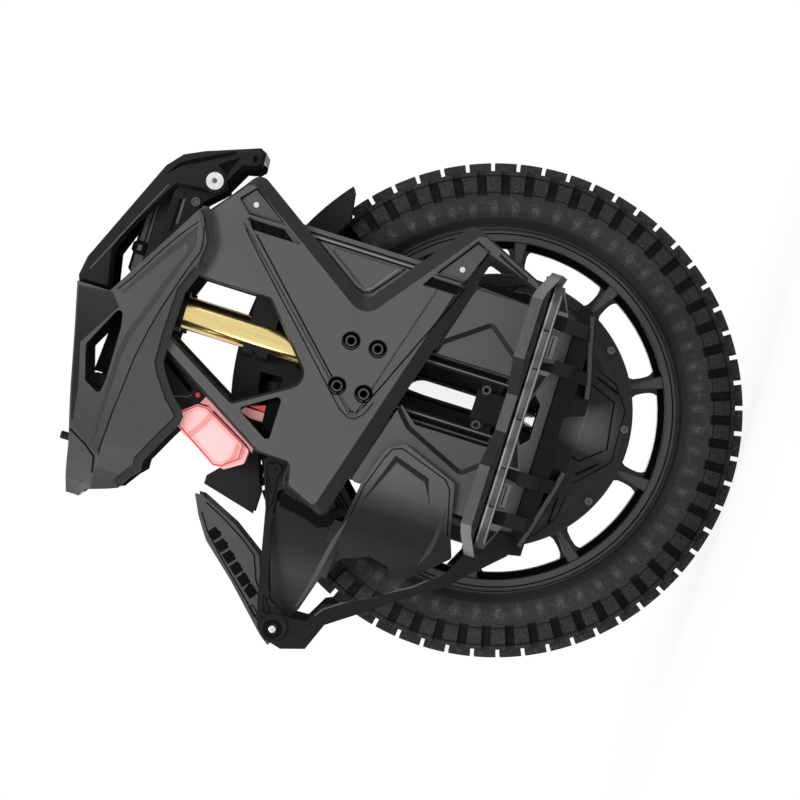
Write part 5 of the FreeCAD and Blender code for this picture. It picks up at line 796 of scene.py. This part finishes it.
def dress_fender():
    """Edge line, stripe, painted highlights along two ridges, painted shade in a gap, and upper lip of the
    rear fenders.
    """
    fender = Surface("right_rear_fender")
    edge = [(-148, 108), (-115, 103.5), (-82, 92.5), (-70, 87), (-66.5, 77), (-84, 25), (-93, 17.5),
            (-140, 5.5)]
    line("fender_lines", fender, edge, 1.1, BLACK, lift=THIN)
    first = [(-130, 101), (-75.5, 82), (-88, 42), (-112, 34.6)]
    second = [(-130, 99.8), (-82, 78.5), (-93, 45), (-112, 33)]
    band("fender_stripes", fender, first, second, DARK, THIN)
    # Painted highlights: paler bands along the upper ridge and the lower crest.
    ridge = [(-255, 134.4), (-228, 128), (-200, 123), (-178, 118.6), (-155, 110.4)]
    under = [(-254, 132), (-228, 123.4), (-200, 118), (-178, 114), (-155, 109.8)]
    band("fender_ridge_highlights", fender, ridge, under, FLAP, THIN)
    ridge = [(-178, 27), (-162, 22.4), (-145, 19), (-112, 15)]
    under = [(-178, 26.4), (-162, 17.4), (-145, 14.4), (-112, 14.4)]
    band("fender_low_highlights", fender, ridge, under, STRIPE, THIN)
    # Painted shade: a black band where the gap beside the side plate lies in shadow.
    left = [(-160, 185), (-166, 150), (-171, 137), (-165, 124.5), (-150, 119)]
    right = [(-146, 185), (-154, 150), (-159, 139), (-154, 131), (-146, 127)]
    band("fender_gap_shades", fender, left, right, BLACK, THIN)
    lip = ((-258, 145, 151), (-250, 148, 161), (-236, 155, 166.5), (-214, 165, 174), (-192, 172, 181))
    lip_lift, lip_sink = 0.6, 2.2
    slope = 0.2
    out = Vector((-slope, -0.98, 0.0))
    rows = []
    for x, low, high in lip:
        y = 81.0 + (x + 200) * slope
        rows.append([(real((x, low), y), out), (real((x, high), y), out)])
    build("fender_lips", *grid_solid(rows, lip_lift, lip_sink), FENDER)


def dress_mudguard():
    """Vent slots, their backing and lines of the mudguard, and rings, lines and flags of its arms."""
    flap = Surface("rear_mudguard")
    vent = ((-5.4, -7.0), (6.0, -7.0), (6.0, 3.4), (-5.4, 3.4))
    way_x, way_z = 0.652, 0.758
    for k in range(6):
        x, z = -254.2 + 9.04 * k, 182.9 + 10.72 * k
        slot = [(x + a * way_x - b * way_z, z + a * way_z + b * way_x) for a, b in vent]
        block("vent_slots_%d" % k, slot, 58.4, 57.2, BLACK, SMALL_CHAMFER)
    block("vent_backs", [(-260, 180), (-252, 176), (-199, 239), (-207, 247)], 54.9, 52, BLACK)
    low = [(-252, 171), (-240, 180.5), (-216, 190), (-204, 206), (-191, 228), (-179, 253)]
    line("flap_low_lines", flap, low, 1.3, BLACK)
    high = [(-281, 164), (-262, 185), (-230, 220), (-207, 243), (-190, 254.5)]
    line("flap_high_lines", flap, high, 1.2, BLACK)
    mark = [(-276, 171), (-268.5, 179), (-265.5, 176), (-273, 168)]
    line("flap_marks", flap, mark, 1.0, BLACK, closed=True)
    spots = [(-286, 150)]
    turned("arm_boss_rings", Surface("mudguard_tube"), spots, ring(5.6, 9.6, 0.4), BLACK)
    centre = ((3.4, -0.3), (3.4, 0.4), (2.6, 0.8), (0.4, 0.8))
    turned("arm_boss_centres", Surface("arm_screws"), spots, centre, BRIGHT)
    upper = Surface("mudguard_upper_arms")
    pocket = [(-170, 190.8), (-140, 201), (-124, 206.5), (-121, 204), (-121, 192), (-163, 189.2)]
    line("arm_pockets", upper, pocket, 1.3, BLACK, closed=True)
    gusset = [(-271, 164), (-254, 169.5), (-257, 165.5), (-270, 157)]
    line("arm_gussets", upper, gusset, 1.1, BLACK, closed=True)
    lower = Surface("mudguard_lower_arms")
    flag = [(-299, 137), (-293, 119), (-268, 104.5), (-266, 110), (-283, 122), (-289, 138)]
    fill("arm_flags", lower, flag, ARM)
    line("arm_edges", lower, [(-259, 112.5), (-250, 106), (-236, 86), (-200, 24), (-178, -1)], 1.6, TRIM)


def dress_cover():
    """Lines of the suspension rails, the dark pocket beside the lower cover and rings of the axle clamps."""
    rails = Surface("guide_rails")
    for x, width, mat in ((-37.6, 1.4, BLACK), (-34.6, 1.2, PALE), (-31, 3.4, BLACK), (-26.8, 1.2, PALE),
                          (28.8, 1.2, PALE), (33, 3.4, BLACK), (36.6, 1.2, PALE), (39.4, 1.4, BLACK)):
        side = "rear" if x < 0 else "front"
        line("rail_%s_%d" % (side, abs(x)), rails, [(x, -42), (x, 124)], width, mat, step=WHOLE)
    block("cover_pockets", [(104, -2), (124, -2), (124, 46), (120, 50), (104, 50)], 95.8, 88, BLACK)
    spots = [(-20, 12.5), (17.5, 12.5)]
    turned("clamp_rings", Surface("axle_clamps"), spots, ring(2.6, 4.6, 3.6, 3.0), CASE, 24)


def dress_pedal():
    """Lips, marks, dark gussets and latches of the pedal brackets."""
    bar = Surface("right_pedal_bracket")
    for name, z, width in (("top", -26.6, 1.7), ("low", -34.6, 1.4)):
        line("bracket_%s_lips" % name, bar, [(-137, z), (137, z)], width, SHINE, body="pedal", step=WHOLE)
    for k, x in enumerate((-97, -55, -1, 55, 97)):
        line("bracket_mark_%d" % k, bar, [(x, -27.6), (x, -33.8)], 1.3, BLACK, body="pedal")
    gussets = ([(-51, -36.4), (-51, -46), (-24, -36.4)], [(51, -36.4), (51, -45), (25, -36.4)],
               [(-121, -36.4), (-121, -44.5), (-137, -36.4)], [(121, -36.4), (121, -45.5), (138, -36.4)])
    for k, outline in enumerate(gussets):
        fill("bracket_gusset_%d" % k, bar, outline, DARK, body="pedal", step=WHOLE)
    latch = (("pocket", (-35.6, 18, -48.5, 16), 155.8, 151, TRIM, CHAMFER),
             ("plate", (-37.4, 13, -45, 13), 156.8, 155, SILVER, CHAMFER),
             ("slot", (-39.4, 11, -40.6, 11), 157.1, 156, BLACK, SMALL_CHAMFER))
    for k, x in enumerate((-82, 82)):
        for name, sizes, y_out, y_in, mat, chamfer in latch:
            block("bracket_%s_%d" % (name, k), trapezium(x, *sizes), y_out, y_in, mat, chamfer, "pedal")


def dress_hanger():
    """Paler lower border and the feet of the ribs of the pedal hangers."""
    for name, path in (("rear", [(-127, -68.5), (-100, -76), (-60, -86), (-40, -90)]),
                       ("front", [(40, -90), (60, -86), (90, -78), (124, -70)])):
        block("hanger_%s_borders" % name, offset(path, 2.4) + offset(path, -2.4)[::-1], 105.6, 90, TRIM)
    feet = ([(-112, -60), (-95.5, -60), (-95.5, -77), (-112, -72.6)],
            [(-66, -60), (-51, -60), (-51, -87.4), (-66, -84)],
            [(53, -60), (67, -60), (67, -83.6), (53, -87)],
            [(97, -60), (112, -60), (112, -72.6), (97, -76)])
    for k, outline in enumerate(feet):
        block("hanger_foot_%d" % k, outline, 106.4, 92, BLACK_METAL, 1.4)


def spin(path, angle):
    """Side-view line turned about the axle."""
    c = math.cos(angle)
    s = math.sin(angle)
    return [(x * c - z * s, x * s + z * c) for x, z in path]


def dress_wheel():
    """Moulded lines of the motor cover in each of its fields, and black rings round the rim as painted shade.
    """
    hub = Surface("motor_covers")
    lines = (("hub_outline", [(-15, -73), (-24, -98), (-4, -122), (44, -115), (55, -88)], 1.5),
             ("hub_border", [(-47, -100), (-15, -130), (40, -128), (63, -110), (72, -88)], 1.1),
             ("hub_slash_rear", [(-38, -99), (-20, -119)], 2.4),
             ("hub_slash_front", [(64, -90), (54, -116)], 2.2))
    for name, path, width in lines:
        for k in range(HUB_FIELDS):
            turn = spin(path, k * math.tau / HUB_FIELDS)
            line("%s_%d" % (name, k), hub, turn, width, BLACK, body="wheel", lift=THIN)
    # Painted shade: thin black rings beside the rim's grooves and a black ring on its recessed inner wall.
    loops = [[(r - 0.6, 32.6), (r - 0.6, 33.3), (r + 0.6, 33.3), (r + 0.6, 32.6)] for r in (177.6, 182.2)]
    loops.append([(163.7, 11.4), (163.7, 12.5), (169.7, 12.5), (169.7, 11.4)])
    build("rim_shade_lines", *joined([lathe(loop) for loop in loops]), BLACK, "wheel")


def lathe(loop, sides=120):
    """Ring turned about the axle from a closed loop of (radius, distance to the right) in millimetres."""
    verts = []
    faces = []
    for radius, y in loop:
        for k in range(sides):
            angle = math.tau * k / sides
            x = math.cos(angle) * radius * MM
            verts.append(Vector((x, -y * MM, AXLE_Z + math.sin(angle) * radius * MM)))
    for i in range(len(loop)):
        faces += walls(i * sides, (i + 1) % len(loop) * sides, sides)
    return verts, faces


def joined(pieces):
    """Several (corners, faces) as one."""
    verts = []
    faces = []
    for more, around in pieces:
        faces += [[i + len(verts) for i in face] for face in around]
        verts += more
    return verts, faces


def spoke_part(outline, half, angle, chamfer):
    """Chamfered plate across the rim from an outline of (aside, radius), turned to one spoke."""
    inner = offset(outline, chamfer, True)
    along = Vector((math.cos(angle), 0, math.sin(angle)))
    across = Vector((-math.sin(angle), 0, math.cos(angle)))
    verts = []
    for points, y in ((inner, half), (outline, half - chamfer), (outline, chamfer - half), (inner, -half)):
        for aside, radius in points:
            verts.append(Vector((0, -y * MM, AXLE_Z)) + (along * radius + across * aside) * MM)
    count = len(outline)
    faces = [list(range(count)), list(range(4 * count - 1, 3 * count - 1, -1))]
    for row in (0, count, 2 * count):
        faces += walls(row, row + count, count)
    return verts, faces


def dress_rim():
    """Rim with slender ribbed spokes, in place of the plainer solid."""
    face = [(177.8, 29), (184, 29), (184, 32.4), (183.4, 33), (181, 33), (180.4, 32.2), (178.6, 32.2),
            (178, 33), (170.8, 33), (169.8, 32), (169.8, 12), (163.5, 11)]
    shoulder = [(120, 38), (136, 38), (137.5, 36.5)]
    pieces = [lathe(half + [(r, -y) for r, y in reversed(half)]) for half in (face, shoulder)]
    waist = [(13, 135), (10, 138.6), (8.2, 142), (7.8, 150), (8.4, 157), (10, 161), (14, 164.8)]
    web = [(-a, r) for a, r in waist] + [(a, r) for a, r in reversed(waist)]
    rib = [(-2.4, 136), (-6.8, 172), (6.8, 172), (2.4, 136)]
    for k in range(SPOKES):
        angle = math.radians(-99 + k * 360 / SPOKES)
        pieces += [spoke_part(web[::-1], 11, angle, 1.2), spoke_part(rib[::-1], 31, angle, 1.2)]
    rim = build("spoked_rim", *joined(pieces), WHEEL, "wheel", both=False)
    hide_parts("rim")


def dress():
    """All trim pieces."""
    dress_head()
    dress_visor()
    dress_plates()
    dress_windows()
    dress_notch()
    dress_rear()
    dress_fender()
    dress_mudguard()
    dress_cover()
    dress_pedal()
    dress_hanger()
    dress_wheel()
    dress_rim()


# Camera, light and floor


def area(name, place, size, power):
    """Soft square lamp turned to the object."""
    data = bpy.data.lights.new(name, "AREA")
    data.size = size
    data.energy = power
    lamp = bpy.data.objects.new(name, data)
    SCENE.collection.objects.link(lamp)
    lamp.location = place
    lamp.rotation_euler = (Vector(LIT_POINT) - lamp.location).to_track_quat("-Z", "Y").to_euler()


def background_rays(tree):
    """1 for rays that meet the white background: seen, mirrored or through glass."""
    path = add(tree, "ShaderNodeLightPath")
    rays = path.outputs["Is Camera Ray"]
    for name in ("Is Glossy Ray", "Is Transmission Ray"):
        rays = sum_of(tree, "MAXIMUM", rays, path.outputs[name])
    return rays


def mix_shaders(tree, factor, first, second, output):
    """Two shaders mixed into an output of one kind."""
    both = add(tree, "ShaderNodeMixShader")
    tree.links.new(factor, both.inputs[0])
    tree.links.new(first.outputs[0], both.inputs[1])
    tree.links.new(second.outputs[0], both.inputs[2])
    tree.links.new(both.outputs[0], add(tree, output).inputs[0])


def stage_camera():
    """Camera of the photograph: level with the body, rolled so the object lies back."""
    data = bpy.data.cameras.new("camera")
    data.lens = data.sensor_width * CAMERA_DISTANCE / CAMERA_WIDTH
    data.clip_end = CAMERA_REACH
    camera = bpy.data.objects.new("camera", data)
    SCENE.collection.objects.link(camera)
    right = Vector((math.sin(CAMERA_LEAN), 0, -math.cos(CAMERA_LEAN)))
    up = Vector((math.cos(CAMERA_LEAN), 0, math.sin(CAMERA_LEAN)))
    turn = Matrix((right, up, right.cross(up))).transposed().to_4x4()
    camera.matrix_world = Matrix.Translation((EYE.x, -CAMERA_DISTANCE, EYE.z)) @ turn
    SCENE.camera = camera


def stage_light():
    """White surround for the camera and reflections, dimmer for diffuse light, and soft lamps."""
    world = bpy.data.worlds.new("studio")
    SCENE.world = world
    world.use_nodes = True
    tree = world.node_tree
    tree.nodes.clear()
    dim = add(tree, "ShaderNodeBackground", in_0=(1, 1, 1, 1), in_1=WORLD_LIGHT)
    white = add(tree, "ShaderNodeBackground", in_0=(1, 1, 1, 1), in_1=1.0)
    mix_shaders(tree, background_rays(tree), dim, white, "ShaderNodeOutputWorld")
    for lamp in LAMPS:
        area(*lamp)


def stage_floor():
    """Pale floor that keeps a light shadow."""
    mesh = bpy.data.meshes.new("floor")
    corners = [(x * FLOOR_HALF, y * FLOOR_HALF, 0) for x, y in ((-1, -1), (1, -1), (1, 1), (-1, 1))]
    mesh.from_pydata(corners, [], [(0, 1, 2, 3)])
    floor = bpy.data.objects.new("floor", mesh)
    SCENE.collection.objects.link(floor)
    floor.location.z = -FLOOR_DROP
    mat = bpy.data.materials.new("floor")
    mat.use_nodes = True
    tree = mat.node_tree
    tree.nodes.clear()
    where = add(tree, "ShaderNodeTexCoord")
    reach = add(tree, "ShaderNodeVectorMath", operation="LENGTH")
    tree.links.new(where.outputs["Object"], reach.inputs[0])
    fade = span(tree, reach.outputs["Value"], 0.1, 0.75, 0.88, 1.0)
    share = sum_of(tree, "MULTIPLY", background_rays(tree), fade)
    matte = add(tree, "ShaderNodeBsdfDiffuse", in_0=(0.9, 0.9, 0.9, 1))
    glow = add(tree, "ShaderNodeEmission", in_0=(1, 1, 1, 1), in_1=1.0)
    mix_shaders(tree, share, matte, glow, "ShaderNodeOutputMaterial")
    mesh.materials.append(mat)


SCENE.view_settings.view_transform = "Standard"
finish_nodes()
dress()
stage_camera()
stage_light()
stage_floor()

bpy.context.view_layer.update()
